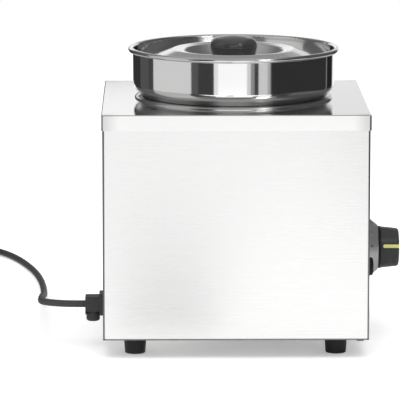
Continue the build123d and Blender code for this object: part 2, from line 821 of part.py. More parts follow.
knob_form = knob_outline(0)
knob_core = knob_outline(pointer_depth)
pointer_plane = Plane(
    (knob_base + pointer_start + pointer_width / 2, 0, dial_height),
    x_dir=(1, 0, 0),
    z_dir=(0, -cos(radians(pointer_rest_angle)), sin(radians(pointer_rest_angle))),
)
pointer_reach = knob_base_radius - pointer_inner_radius
with BuildPart() as knob_pointer:
    with BuildSketch(pointer_plane.offset(pointer_inner_radius)):
        Circle(pointer_width / 2)
        with Locations((knob_length / 2, 0)):
            Rectangle(knob_length, pointer_width)
    extrude(amount=pointer_reach)
    add(knob_form, mode=Mode.INTERSECT)
    add(knob_core, mode=Mode.SUBTRACT)
knob_pointer.part.label = "knob_pointer"
export_step(in_frame(knob_pointer.part), "parts/knob_pointer.step")

with BuildPart() as control_knob:
    add(knob_form)
    with BuildSketch(dial_plane):
        with BuildLine():
            Polyline(
                (knob_base, knob_boss_radius),
                (knob_base, knob_base_radius - knob_wall),
                (knob_inside, knob_end_radius - knob_wall),
                (knob_inside, knob_boss_radius),
                close=True,
            )
        make_face()
    revolve(axis=dial_axis, mode=Mode.SUBTRACT)
    with BuildSketch(wall_plane(knob_base, 0, dial_height)):
        Circle(spindle_radius + spindle_fit)
    extrude(amount=knob_bore_depth, mode=Mode.SUBTRACT)
    add(knob_pointer.part, mode=Mode.SUBTRACT)
control_knob.part.label = "control_knob"
export_step(in_frame(control_knob.part), "parts/control_knob.step")

with BuildPart() as thermostat_spindle:
    with BuildSketch(wall_plane(spindle_start, 0, dial_height)):
        Circle(spindle_radius)
    extrude(amount=spindle_end - spindle_start)
thermostat_spindle.part.label = "thermostat_spindle"
export_step(in_frame(thermostat_spindle.part), "parts/thermostat_spindle.step")

# Pilot lamp: a rounded bezel and a domed lens in front of the wall, body and nut behind it
lamp_back = wall_outer - lamp_body_depth
lamp_seat = wall_outer + lamp_body_front
lens_edge = wall_outer + lamp_lens_height - lamp_lens_crown
lens_crown_radius = (lamp_body_radius**2 + lamp_lens_crown**2) / (2 * lamp_lens_crown)
with BuildPart() as lamp_bezel:
    with BuildSketch(wall_plane(*lamp_place)):
        Circle(lamp_bezel_radius)
    extrude(amount=lamp_bezel_height)
    fillet(lamp_bezel.faces().sort_by(Axis.X)[-1].edges(), lamp_bezel_round)
    with BuildSketch(wall_plane(*lamp_place)):
        Circle(lamp_body_radius + lamp_fit)
    extrude(amount=lamp_bezel_height, mode=Mode.SUBTRACT)
lamp_bezel.part.label = "lamp_bezel"
export_step(in_frame(lamp_bezel.part), "parts/lamp_bezel.step")

with BuildPart() as lamp_lens:
    with BuildSketch(lamp_plane):
        with BuildLine():
            Polyline(
                (wall_outer + lamp_lens_height, 0),
                (lamp_seat, 0),
                (lamp_seat, lamp_body_radius),
                (lens_edge, lamp_body_radius),
            )
            RadiusArc((lens_edge, lamp_body_radius), (wall_outer + lamp_lens_height, 0), lens_crown_radius)
        make_face()
    revolve(axis=lamp_axis)
lamp_lens.part.label = "lamp_lens"
export_step(in_frame(lamp_lens.part), "parts/lamp_lens.step")

with BuildPart() as lamp_body:
    with BuildSketch(wall_plane(lamp_back, -lamp_offset, lamp_height)):
        Circle(lamp_body_radius)
    extrude(amount=lamp_seat - lamp_back)
lamp_body.part.label = "lamp_body"
export_step(in_frame(lamp_body.part), "parts/lamp_body.step")

with BuildPart() as lamp_nut:
    with BuildSketch(wall_plane(wall_inner, -lamp_offset, lamp_height)):
        RegularPolygon(lamp_nut_flats / 2, 6, major_radius=False)
        Circle(lamp_body_radius + lamp_fit, mode=Mode.SUBTRACT)
    extrude(amount=-lamp_nut_height)
lamp_nut.part.label = "lamp_nut"
export_step(in_frame(lamp_nut.part), "parts/lamp_nut.step")

# Cord grip: a flanged block outside the wall, a threaded neck through it, a clamp screw from below
# that shows in a notch at the front
grip_neck_end = -wall_outer + grip_neck_length
grip_clamp_x = grip_face + grip_clamp_setback
grip_clamp_bottom = cord_height - grip_clamp_drop
grip_clamp_top = cord_height - cord_radius - seat_gap
grip_block_bottom = cord_height - grip_block_drop - grip_block_height / 2
grip_notch_start = grip_clamp_x - grip_clamp_radius - thread_clearance
grip_notch_width = grip_flange_face - grip_notch_start
grip_notch_middle = grip_flange_face - grip_notch_width / 2
with BuildPart() as grip_body:
    with BuildSketch(wall_plane(-wall_outer, -grip_offset, cord_height + grip_flange_rise)):
        RectangleRounded(grip_flange_width, grip_flange_height, grip_flange_round)
    extrude(amount=-grip_flange_thick)
    with BuildSketch(wall_plane(grip_flange_face, -grip_offset, cord_height - grip_block_drop)):
        RectangleRounded(grip_block_width, grip_block_height, grip_block_round)
    extrude(amount=-grip_block_length)
    fillet(grip_body.faces().sort_by(Axis.X)[0].edges(), grip_block_round / 2)
    with BuildSketch(wall_plane(-wall_outer, -grip_offset, cord_height)):
        Circle(grip_neck_radius)
    extrude(amount=grip_neck_length)
    with BuildSketch(wall_plane(grip_face, -grip_offset, cord_height)):
        Circle(cord_radius + cord_fit)
    extrude(amount=grip_neck_end - grip_face, mode=Mode.SUBTRACT)
    with BuildSketch(level(grip_clamp_bottom, grip_clamp_x, -grip_offset)):
        Circle(grip_clamp_radius + thread_clearance)
    extrude(amount=cord_height - grip_clamp_bottom, mode=Mode.SUBTRACT)
    with BuildSketch(level(grip_block_bottom, grip_notch_middle, -grip_offset - grip_block_width / 4)):
        Rectangle(grip_notch_width, grip_block_width / 2)
    extrude(amount=grip_notch_rise, mode=Mode.SUBTRACT)
grip_body.part.label = "grip_body"
export_step(in_frame(grip_body.part), "parts/grip_body.step")

with BuildPart() as grip_clamp:
    with BuildSketch(level(grip_clamp_bottom, grip_clamp_x, -grip_offset)):
        Circle(grip_clamp_radius)
    extrude(amount=grip_clamp_top - grip_clamp_bottom)
    fillet(grip_clamp.faces().sort_by(Axis.Z)[0].edges(), grip_clamp_round)
    with BuildSketch(level(grip_clamp_bottom, grip_clamp_x, -grip_offset)):
        Rectangle(2 * grip_clamp_radius, grip_slot_width)
    extrude(amount=grip_slot_depth, mode=Mode.SUBTRACT)
grip_clamp.part.label = "grip_clamp"
export_step(in_frame(grip_clamp.part), "parts/grip_clamp.step")

with BuildPart() as grip_locknut:
    with BuildSketch(wall_plane(-wall_inner, -grip_offset, cord_height)):
        RegularPolygon(grip_nut_flats / 2, 6, major_radius=False)
        Circle(grip_neck_radius + thread_clearance, mode=Mode.SUBTRACT)
    extrude(amount=grip_nut_height)
grip_locknut.part.label = "grip_locknut"
export_step(in_frame(grip_locknut.part), "parts/grip_locknut.step")

# Terminal block on the base plate, where the supply cord ends and the leads start
terminal_inlet = -wall_outer + terminal_distance - terminal_width
terminal_outlet = terminal_inlet + terminal_width
terminal_middle = (terminal_inlet + terminal_outlet) / 2
pole_places = []
for pole in (-1, 0, 1):
    pole_places.append((terminal_middle, -grip_offset + pole * terminal_pole_pitch))
terminal_screw_places = []
for pole in (-1, 1):
    terminal_screw_places.append((terminal_middle, -grip_offset + pole * terminal_pole_pitch * 1.5))
terminal_top = base_top + terminal_height
with BuildPart() as terminal_block:
    with BuildSketch(level(base_top, terminal_middle, -grip_offset)):
        Rectangle(terminal_width, terminal_length)
    extrude(amount=terminal_height)
    with BuildSketch(level(terminal_top)):
        with Locations(*pole_places):
            Circle(terminal_well_radius)
    extrude(amount=-terminal_well_depth, mode=Mode.SUBTRACT)
    with BuildSketch(level(base_top)):
        with Locations(*terminal_screw_places):
            Circle(terminal_screw_radius + thread_clearance)
    extrude(amount=terminal_height, mode=Mode.SUBTRACT)
terminal_block.part.label = "terminal_block"
export_step(in_frame(terminal_block.part), "parts/terminal_block.step")

with BuildPart() as terminal_screws:
    with BuildSketch(level(terminal_top)):
        with Locations(*terminal_screw_places):
            Circle(terminal_screw_head_radius)
    extrude(amount=terminal_screw_head_height)
    with BuildSketch(level(terminal_top)):
        with Locations(*terminal_screw_places):
            Circle(terminal_screw_radius)
    extrude(amount=-terminal_height)
terminal_screws.part.label = "terminal_screws"
export_step(in_frame(terminal_screws.part), "parts/terminal_screws.step")

with BuildPart() as supply_cord_end:
    with BuildSketch(wall_plane(grip_face, -grip_offset, cord_height)):
        Circle(cord_radius)
    extrude(amount=terminal_inlet - grip_face)
supply_cord_end.part.label = "supply_cord_end"
export_step(in_frame(supply_cord_end.part), "parts/supply_cord_end.step")

with BuildPart() as earth_stud:
    with BuildSketch(level(base_top, earth_stud_x, earth_stud_y)):
        Circle(earth_stud_radius)
    extrude(amount=earth_stud_length)
earth_stud.part.label = "earth_stud"
export_step(in_frame(earth_stud.part), "parts/earth_stud.step")

with BuildPart() as earth_nut:
    with BuildSketch(level(base_top, earth_stud_x, earth_stud_y)):
        RegularPolygon(earth_nut_flats / 2, 6, major_radius=False)
        Circle(earth_stud_radius + thread_clearance, mode=Mode.SUBTRACT)
    extrude(amount=earth_nut_height)
earth_nut.part.label = "earth_nut"
export_step(in_frame(earth_nut.part), "parts/earth_nut.step")

# Leads: each runs from a pole or a tab to the piece that it feeds
heater_plus, heater_minus = heater_ends
cutout_bottom = tank_under - cutout_height
tab = cutout_radius / 2
pole_live = -grip_offset - terminal_pole_pitch
pole_lamp = -grip_offset - terminal_pole_pitch * 1.5
pole_neutral = -grip_offset
pole_earth = -grip_offset + terminal_pole_pitch
thermostat_under = dial_height - thermostat_height / 2
entry_x = thermostat_back + lead_entry_depth
entry_lamp = lead_entry_edge - thermostat_width / 2
lead_over = lead_level + lead_bend
lead_routes = {
    "lead_live": [
        (terminal_outlet, pole_live, lead_level),
        (heater_plus[0] - 3 * lead_bend, pole_live, lead_level),
        (entry_x, -thermostat_width / 4, lead_level),
        (entry_x, -thermostat_width / 4, thermostat_under),
    ],
    "lead_neutral": [
        (terminal_outlet, pole_neutral, lead_level),
        (heater_plus[0] - 5 * lead_bend, pole_neutral, lead_level),
        (*heater_minus, lead_level),
        (*heater_minus, heater_leg_bottom),
    ],
    "lead_switched": [
        (entry_x, thermostat_width / 4, thermostat_under),
        (entry_x, thermostat_width / 4, lead_over),
        (heater_plus[0] - 5 * lead_bend, thermostat_width, lead_over),
        (-cutout_offset, tab, lead_over),
        (-cutout_offset, tab, cutout_bottom),
    ],
    "lead_heater": [
        (-cutout_offset, -tab, cutout_bottom),
        (-cutout_offset, -tab, lead_over + lead_bend),
        (heater_plus[0] / 3, 0, lead_over),
        (*heater_plus, lead_level),
        (*heater_plus, heater_leg_bottom),
    ],
    "lead_earth": [
        (terminal_outlet, pole_earth, lead_level),
        (terminal_outlet + 3 * lead_bend, pole_earth, lead_level),
        (earth_stud_x, earth_stud_y, lead_over + lead_bend),
        (earth_stud_x, earth_stud_y, base_top + earth_stud_length),
    ],
    "lead_lamp_live": [
        (lamp_back, -lamp_offset + tab, lamp_height),
        (lamp_back - 2 * lead_bend, -lamp_offset + tab, lamp_height),
        (lamp_back - 2 * lead_bend, -lamp_offset + tab, lead_over),
        (entry_x, entry_lamp, lead_over),
        (entry_x, entry_lamp, thermostat_under),
    ],
    "lead_lamp_neutral": [
        (lamp_back, -lamp_offset - tab, lamp_height),
        (lamp_back - 2 * lead_bend, -lamp_offset - tab, lamp_height),
        (heater_plus[0], pole_lamp, lead_level + lead_radius * 4),
        (terminal_outlet, pole_lamp, lead_level + lead_radius * 4),
    ],
}
for lead_name, lead_points in lead_routes.items():
    with BuildPart() as lead:
        with BuildLine() as lead_path:
            FilletPolyline(*lead_points, radius=lead_bend)
        with BuildSketch(Plane(lead_path.line @ 0, z_dir=lead_path.line % 0)):
            Circle(lead_radius)
        sweep()
    lead.part.label = lead_name
    export_step(in_frame(lead.part), f"parts/{lead_name}.step")

# Mains cord: straight out of the grip, round to the back and down, then along the floor
coil_floor = tie_thick + tie_gap + cord_radius
cord_run = [
    (0.0, 0.0, cord_height),
    (17.0, 0.0, cord_height),
    (30.1, 5.4, 41.2),
    (40.2, 15.5, 40.3),
    (45.6, 28.6, 38.8),
    (46.2, 56.0, 36.2),
    (46.6, 104.0, 29.6),
    (47.4, 158.0, 19.8),
    (48.6, 212.0, 10.2),
    (50.4, 266.0, 4.6),
    (54.6, 322.0, cord_radius),
    (63.2, 377.0, cord_radius),
    (75.7, 427.0, cord_radius),
    (90.2, 471.0, 3.6),
    (108.7, 503.0, coil_floor),
    (130.7, 525.0, coil_floor),
]
cord_points = [(grip_face - out, back - grip_offset, z) for out, back, z in cord_run]


def bend_radii(points):
    """The radius at each inner point: as large as that share of the shorter run beside it allows."""
    radii = []
    for before, point, after in zip(points, points[1:], points[2:]):
        run_one = Vector(*point) - Vector(*before)
        run_two = Vector(*after) - Vector(*point)
        turn = radians(run_one.get_angle(run_two))
        radii.append(bend_share * min(run_one.length, run_two.length) / tan(turn / 2))
    return radii


cord_bends = bend_radii(cord_points)
print("cord radii", [round(radius) for radius in cord_bends])
with BuildPart() as power_cord:
    with BuildLine() as cord_path:
        FilletPolyline(*cord_points, radius=cord_bends)
    with BuildSketch(Plane(cord_path.line @ 0, z_dir=cord_path.line % 0)):
        Circle(cord_radius)
    sweep()
cord_wire = cord_path.wire()
cord_volume = pi * cord_radius**2 * cord_wire.length
print("cord length", round(cord_wire.length), "volume ratio", round(power_cord.part.volume / cord_volume, 4))
power_cord.part.label = "power_cord"
export_step(in_frame(power_cord.part), "parts/power_cord.step")

# Coil of the put-away length: spirals in on the floor, climbs in one half turn, spirals out on top
half_turns_in = 2 * coil_turns_in
coil_radii = [coil_inner_radius + coil_pitch / 2 * (half_turns_in + 1 - k) for k in range(half_turns_in + 2)]
coil_radii += [coil_inner_radius + coil_pitch / 2 * (2 + k) for k in range(half_turns_in)]
coil_levels = [0] * (half_turns_in + 1) + [coil_layer] * (half_turns_in + 1)
heading = Vector(cos(radians(coil_heading)), sin(radians(coil_heading)), 0)
coil_side = Vector(heading.Y, -heading.X, 0)
coil_start = Vector(*cord_points[-1])
coil_entry = coil_start + heading * 2 * cord_radius
coil_centre = coil_entry - coil_side * coil_radii[0]
coil_exit = (
    coil_centre
    + coil_side * (coil_radii[-1] * (-1) ** (len(coil_radii) - 1))
    + Vector(0, 0, coil_levels[-1])
)
exit_heading = heading * (-1) ** (len(coil_radii) - 1)
coil_end = coil_exit + exit_heading * 2 * cord_radius
with BuildPart() as cord_coil:
    with BuildLine() as coil_path:
        Line(coil_start, coil_entry)
        for k in range(len(coil_radii) - 1):
            flip = (-1) ** k
            first = coil_centre + coil_side * (flip * coil_radii[k]) + Vector(0, 0, coil_levels[k])
            last = coil_centre - coil_side * (flip * coil_radii[k + 1]) + Vector(0, 0, coil_levels[k + 1])
            reach = (last - first).length / 2
            middle = (first + last) * 0.5 + heading * (flip * reach)
            TangentArc(first, middle, tangent=heading * flip)
            TangentArc(middle, last, tangent=last - first)
        Line(coil_exit, coil_end)
    with BuildSketch(Plane(coil_start, z_dir=heading)):
        Circle(cord_radius)
    sweep()
coil_wire = coil_path.wire()
coil_samples = [coil_wire @ (k / sample_count) for k in range(sample_count + 1)]
sample_step = coil_wire.length / sample_count
apart = int(4 * cord_radius * 2 / sample_step)
coil_gap = min(
    (one - other).length
    for k, one in enumerate(coil_samples)
    for other in coil_samples[k + apart:]
) - 2 * cord_radius
coil_volume = pi * cord_radius**2 * coil_wire.length
print("coil length", round(coil_wire.length), "least gap", round(coil_gap, 2),
      "volume ratio", round(cord_coil.part.volume / coil_volume, 4))
cord_coil.part.label = "cord_coil"
export_step(in_frame(cord_coil.part), "parts/cord_coil.step")

# Tie: a flat band round all the turns of the coil at one place
tie_direction = heading * sin(radians(tie_angle)) + coil_side * cos(radians(tie_angle))
tie_inner = coil_radii[half_turns_in + 1] - cord_radius - tie_gap
tie_outer = coil_radii[0] + cord_radius + tie_gap
tie_middle = coil_centre + tie_direction * ((tie_inner + tie_outer) / 2)
tie_across = Vector(-tie_direction.Y, tie_direction.X, 0)
tie_height = 2 * cord_radius + coil_layer + 2 * tie_gap
tie_plane = Plane(
    (tie_middle.X, tie_middle.Y, tie_thick + tie_height / 2),
    x_dir=tie_direction,
    z_dir=tie_across,
)
with BuildPart() as cord_tie:
    with BuildSketch(tie_plane):
        Rectangle(tie_outer - tie_inner + 2 * tie_thick, tie_height + 2 * tie_thick)
        Rectangle(tie_outer - tie_inner, tie_height, mode=Mode.SUBTRACT)
    extrude(amount=tie_width / 2, both=True)
cord_tie.part.label = "cord_tie"
export_step(in_frame(cord_tie.part), "parts/cord_tie.step")

# Plug: a side-entry earthed plug that lies on its back, with its boot on the end of the coil
plug_centre = coil_end + exit_heading * (plug_boot_length + plug_radius)
boot_taper = degrees(atan((plug_boot_tip_radius - plug_boot_radius) / (plug_boot_length + plug_radius)))
with BuildPart() as plug_body:
    with BuildSketch(level(0, plug_centre.X, plug_centre.Y)):
        Circle(plug_radius)
    extrude(amount=plug_height)
    fillet(plug_body.edges().filter_by(GeomType.CIRCLE), plug_round)
    with BuildSketch(Plane(coil_end, z_dir=exit_heading)):
        Circle(plug_boot_tip_radius)
    extrude(amount=plug_boot_length + plug_radius, taper=boot_taper)
plug_across = Vector(-exit_heading.Y, exit_heading.X, 0) * (plug_pin_spacing / 2)
pin_places = [
    (plug_centre.X + plug_across.X, plug_centre.Y + plug_across.Y),
    (plug_centre.X - plug_across.X, plug_centre.Y - plug_across.Y),
]
with BuildPart() as plug_pins:
    with BuildSketch(level(plug_height - plug_pin_seat)):
        with Locations(*pin_places):
            Circle(plug_pin_radius)
    extrude(amount=plug_pin_seat + plug_pin_length)
    fillet(plug_pins.faces().group_by(Axis.Z)[-1].edges(), plug_pin_radius / 2)
plug_pins.part.label = "plug_pins"
export_step(in_frame(plug_pins.part), "parts/plug_pins.step")
with BuildPart() as plug_body_drilled:
    add(plug_body.part)
    add(plug_pins.part, mode=Mode.SUBTRACT)
plug_body_drilled.part.label = "plug_body"
export_step(in_frame(plug_body_drilled.part), "parts/plug_body.step")
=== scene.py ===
# %% [markdown]
# # Dressing a heated food container
# The object is a catering food warmer: a square brushed-steel casing on rubber feet, a polished pot that
# hangs in its water bath, a lid with a black knob, a thermostat dial, a pilot lamp and a mains cord.
# The solids are already made, so this lesson brings them in as a fixed frame and gives them the finishes,
# the soft cord and the small details that a solid model doesn't carry. All lengths are in metres.

# %% Load the frame
import json
import math

import bpy
from mathutils import Matrix, Vector


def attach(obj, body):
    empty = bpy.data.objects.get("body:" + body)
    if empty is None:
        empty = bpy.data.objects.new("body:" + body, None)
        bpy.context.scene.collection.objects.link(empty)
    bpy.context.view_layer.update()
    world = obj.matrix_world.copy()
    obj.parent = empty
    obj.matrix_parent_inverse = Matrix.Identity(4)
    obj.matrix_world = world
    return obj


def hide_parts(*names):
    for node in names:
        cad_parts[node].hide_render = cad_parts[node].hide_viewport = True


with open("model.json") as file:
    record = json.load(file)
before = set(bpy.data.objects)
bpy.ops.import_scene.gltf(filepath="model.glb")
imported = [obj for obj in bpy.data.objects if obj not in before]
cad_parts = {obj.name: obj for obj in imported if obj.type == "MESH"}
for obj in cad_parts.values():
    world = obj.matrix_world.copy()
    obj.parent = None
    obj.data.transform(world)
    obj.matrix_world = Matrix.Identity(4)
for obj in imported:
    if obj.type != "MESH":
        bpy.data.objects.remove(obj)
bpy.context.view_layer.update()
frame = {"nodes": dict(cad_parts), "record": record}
nodes = frame["nodes"]
scene = bpy.context.scene
scene.view_settings.view_transform = "Standard"
print("nodes in the frame:", len(nodes))

# %% [markdown]
# ## Camera
# A product photographer stands well back with a long lens, so that the casing's sides stay almost upright.
# The place and the tilt below come from fitting a camera to the edges of the casing in the photograph.
# The pot's axis is a little to one side of the frame's origin, so it gets a name for later use.

# %% Set up the camera
pot_axis_x = -0.0091
camera_distance = 3.5232
camera_height = 0.72025
camera_side = -0.0749
camera_tilt = math.radians(80.603)
camera_turn = math.radians(-0.662)

bpy.ops.object.camera_add(
    location=(pot_axis_x + camera_side, -camera_distance, camera_height),
    rotation=(camera_tilt, 0, camera_turn),
)
camera = bpy.context.object
camera.name = "product_camera"
camera.data.lens = 315.25
camera.data.sensor_width = 36
camera.data.clip_end = 40
scene.camera = camera
print("camera", [round(value, 3) for value in camera.location])

# %% [markdown]
# ## Mains cord
# The cord is a rubber-sheathed lead, 7 mm thick. It leaves the grip level, turns back, sinks to the table
# and runs off behind, and the length that nobody needs is wound into a coil. A stiff lead bends in long
# smooth lines, so one NURBS curve with a round bevel is the natural way: its control points are the route's
# corners, and the curve passes smoothly inside them. The coil's turns are more points of the same curve.

# %% Route of the cord
cord_radius = 0.0035
grip_face_x = pot_axis_x - 0.1503
grip_y = -0.060
cord_run = [
    (0.0, 0.0, 0.0415),
    (0.0170, 0.0, 0.0415),
    (0.0301, 0.0054, 0.0412),
    (0.0402, 0.0155, 0.0403),
    (0.0456, 0.0286, 0.0388),
    (0.0462, 0.0560, 0.0362),
    (0.0466, 0.1040, 0.0296),
    (0.0474, 0.1580, 0.0198),
    (0.0486, 0.2120, 0.0102),
    (0.0504, 0.2660, 0.0046),
    (0.0546, 0.3220, 0.0035),
    (0.0632, 0.3770, 0.0035),
    (0.0757, 0.4270, 0.0035),
    (0.0902, 0.4710, 0.0036),
    (0.1087, 0.5030, 0.0046),
    (0.1307, 0.5250, 0.0046),
]
cord_points = [Vector((grip_face_x - out, grip_y + back, z)) for out, back, z in cord_run]
cord_exit = cord_points[0].copy()
print("route points before the coil:", len(cord_points))

# %% [markdown]
# The coil spirals inwards on the table, climbs one layer and spirals out again on top. A quadratic NURBS
# stays inside its control points by a fixed share, so the points stand a little further out than the turns.

# %% Turns of the coil
points_per_half_turn = 8
coil_radii = [0.046, 0.0422, 0.0384, 0.0346, 0.0308, 0.027, 0.0346, 0.0384, 0.0422, 0.046]
coil_levels = [0.0, 0.0, 0.0, 0.0, 0.0, 0.0076, 0.0076, 0.0076, 0.0076, 0.0076]
turn_step = math.pi / points_per_half_turn
stand_out = 8 / (6 + 2 * math.cos(turn_step))
heading = Vector((-math.sqrt(0.5), math.sqrt(0.5), 0))
across = Vector((math.sqrt(0.5), math.sqrt(0.5), 0))
coil_entry = cord_points[-1] + heading * 2 * cord_radius
coil_centre = coil_entry - across * coil_radii[0]
half_turns = len(coil_radii) - 1
for half in range(half_turns):
    for step in range(points_per_half_turn):
        share = (step + 0.5) / points_per_half_turn
        radius = coil_radii[half] + (coil_radii[half + 1] - coil_radii[half]) * share
        lift = coil_levels[half] + (coil_levels[half + 1] - coil_levels[half]) * share
        angle = math.pi * (half + share)
        reach = across * math.cos(angle) + heading * math.sin(angle)
        cord_points.append(coil_centre + reach * radius * stand_out + Vector((0, 0, lift)))
last_side = (-1) ** half_turns
coil_exit = coil_centre + across * coil_radii[-1] * last_side + Vector((0, 0, coil_levels[-1]))
exit_heading = heading * last_side
coil_end = coil_exit + exit_heading * 2 * cord_radius
cord_points.append(coil_exit)
cord_points.append(coil_end)
print("points with the coil:", len(cord_points))

# %% Lay the cord
cord_curve = bpy.data.curves.new("mains_cord", "CURVE")
cord_curve.dimensions = "3D"
cord_spline = cord_curve.splines.new("NURBS")
cord_spline.points.add(len(cord_points) - 1)
for point, place in zip(cord_spline.points, cord_points):
    point.co = (*place, 1)
cord_spline.order_u = 3
cord_spline.use_endpoint_u = True
cord_spline.resolution_u = 5
cord_curve.bevel_depth = cord_radius
cord_curve.bevel_resolution = 5
cord_curve.use_fill_caps = True
mains_cord = bpy.data.objects.new("mains_cord", cord_curve)
scene.collection.objects.link(mains_cord)
print("cord spline length:", round(cord_spline.calc_length(), 3))

# %% [markdown]
# ## Studio
# The object stands on a plain white table in even, soft light. The world is white for the camera and for
# mirror-like metal, and a little dimmer as a light source, and one large soft lamp above adds shape.

# %% World
def add_math(tree, operation, *sources):
    """A math node fed by sockets of its tree: its result."""
    node = tree.nodes.new("ShaderNodeMath")
    node.operation = operation
    for place, source in enumerate(sources):
        tree.links.new(source, node.inputs[place])
    return node.outputs[0]


world = bpy.data.worlds.new("white_studio")
scene.world = world
world.use_nodes = True
world_tree = world.node_tree
world_tree.nodes.clear()
world_out = world_tree.nodes.new("ShaderNodeOutputWorld")
seen_white = world_tree.nodes.new("ShaderNodeBackground")
seen_white.inputs["Color"].default_value = (1, 1, 1, 1)
seen_white.inputs["Strength"].default_value = 1.0
soft_light = world_tree.nodes.new("ShaderNodeBackground")
soft_light.inputs["Color"].default_value = (1, 1, 1, 1)
soft_light.inputs["Strength"].default_value = 0.92
ray_kind = world_tree.nodes.new("ShaderNodeLightPath").outputs
seen_or_mirrored = add_math(world_tree, "MAXIMUM", ray_kind["Is Camera Ray"], ray_kind["Is Glossy Ray"])
any_seen = add_math(world_tree, "MAXIMUM", seen_or_mirrored, ray_kind["Is Transmission Ray"])
pick = world_tree.nodes.new("ShaderNodeMixShader")
world_tree.links.new(any_seen, pick.inputs["Fac"])
world_tree.links.new(soft_light.outputs[0], pick.inputs[1])
world_tree.links.new(seen_white.outputs[0], pick.inputs[2])
world_tree.links.new(pick.outputs[0], world_out.inputs["Surface"])
print("world nodes:", len(world_tree.nodes))

# %% Soft lamp
bpy.ops.object.light_add(type="AREA", location=(0.08, -0.45, 2.4))
key_lamp = bpy.context.object
key_lamp.name = "soft_overhead_lamp"
key_lamp.data.size = 2.2
key_lamp.data.energy = 22
casing_middle = Vector((0, 0, 0.15))
key_aim = casing_middle - key_lamp.location
key_lamp.rotation_euler = key_aim.to_track_quat("-Z", "Y").to_euler()
print("lamp power:", key_lamp.data.energy)

# %% [markdown]
# ## Finishes
# Every finish is a node tree. What several of them share, such as brushed lines, smudges or moulded grain,
# is made once as a node group that puts out a plain value, and each finish uses it in its own way.

# %% Helpers for node trees
def new_finish(name):
    """A material with a Principled shader and nothing else: its tree and the shader."""
    material = bpy.data.materials.new(name)
    material.use_nodes = True
    tree = material.node_tree
    tree.nodes.clear()
    output = tree.nodes.new("ShaderNodeOutputMaterial")
    shader = tree.nodes.new("ShaderNodeBsdfPrincipled")
    tree.links.new(shader.outputs["BSDF"], output.inputs["Surface"])
    return material, tree, shader


def new_group(name, inputs, outputs):
    """An empty node group with named value or vector inputs and value outputs."""
    group = bpy.data.node_groups.new(name, "ShaderNodeTree")
    for socket_name, kind in inputs:
        group.interface.new_socket(socket_name, in_out="INPUT", socket_type=kind)
    for socket_name in outputs:
        group.interface.new_socket(socket_name, in_out="OUTPUT", socket_type="NodeSocketFloat")
    way_in = group.nodes.new("NodeGroupInput")
    way_out = group.nodes.new("NodeGroupOutput")
    return group, way_in, way_out


def use_group(tree, group):
    """The group placed in a material, reading the piece's own Object coordinates."""
    place = tree.nodes.new("ShaderNodeTexCoord")
    node = tree.nodes.new("ShaderNodeGroup")
    node.node_tree = group
    tree.links.new(place.outputs["Object"], node.inputs["Vector"])
    return node


def spread(tree, value, low, high):
    """A value from 0 to 1 spread over another range."""
    node = tree.nodes.new("ShaderNodeMapRange")
    node.inputs["To Min"].default_value = low
    node.inputs["To Max"].default_value = high
    tree.links.new(value, node.inputs["Value"])
    return node.outputs["Result"]


def tint(tree, value, dark, light):
    """A colour between two, picked by a value from 0 to 1."""
    node = tree.nodes.new("ShaderNodeMix")
    node.data_type = "RGBA"
    node.inputs["A"].default_value = (*dark, 1)
    node.inputs["B"].default_value = (*light, 1)
    tree.links.new(value, node.inputs["Factor"])
    return node.outputs["Result"]


def bump(tree, shader, value, depth, strength):
    """A fine relief on the surface, from a value that changes over it."""
    node = tree.nodes.new("ShaderNodeBump")
    node.inputs["Distance"].default_value = depth
    node.inputs["Strength"].default_value = strength
    tree.links.new(value, node.inputs["Height"])
    tree.links.new(node.outputs["Normal"], shader.inputs["Normal"])


print("helpers ready")

# %% [markdown]
# ### Shared effects
# Brushed lines, smudges and moulded grain are all one noise. Where its coordinates are stretched unevenly,
# its spots are drawn out into lines.

# %% Lines and grain
def stretched_noise_group(name, detail, roughness):
    """Noise drawn out along the directions whose stretch is small: brushed or drawn lines, or plain grain."""
    inputs = [("Vector", "NodeSocketVector"), ("Stretch", "NodeSocketVector")]
    group, way_in, way_out = new_group(name, inputs, ["Value"])
    scaled = group.nodes.new("ShaderNodeVectorMath")
    scaled.operation = "MULTIPLY"
    noise = group.nodes.new("ShaderNodeTexNoise")
    noise.inputs["Scale"].default_value = 1.0
    noise.inputs["Detail"].default_value = detail
    noise.inputs["Roughness"].default_value = roughness
    group.links.new(way_in.outputs["Vector"], scaled.inputs[0])
    group.links.new(way_in.outputs["Stretch"], scaled.inputs[1])
    group.links.new(scaled.outputs[0], noise.inputs["Vector"])
    group.links.new(noise.outputs["Fac"], way_out.inputs["Value"])
    return group


brush_lines = stretched_noise_group("brush_lines", 6.0, 0.6)
soft_smudge = stretched_noise_group("soft_smudge", 2.0, 0.5)
moulded_grain = stretched_noise_group("moulded_grain", 3.0, 0.55)
print("noise effects:", [group.name for group in bpy.data.node_groups])

# %% [markdown]
# A polishing wheel leaves fine rings round the pot's axis. So this effect first works out how far a point is
# from that axis, and then reads a noise that changes with the distance alone.

# %% Rings of the wheel
def axis_distance(group, way_in):
    """How far a point is from the upright axis at Axis X."""
    parts = group.nodes.new("ShaderNodeSeparateXYZ")
    flat = group.nodes.new("ShaderNodeCombineXYZ")
    length = group.nodes.new("ShaderNodeVectorMath")
    length.operation = "LENGTH"
    group.links.new(way_in.outputs["Vector"], parts.inputs[0])
    shifted = add_math(group, "SUBTRACT", parts.outputs["X"], way_in.outputs["Axis X"])
    group.links.new(shifted, flat.inputs["X"])
    group.links.new(parts.outputs["Y"], flat.inputs["Y"])
    group.links.new(flat.outputs[0], length.inputs[0])
    return length.outputs["Value"]


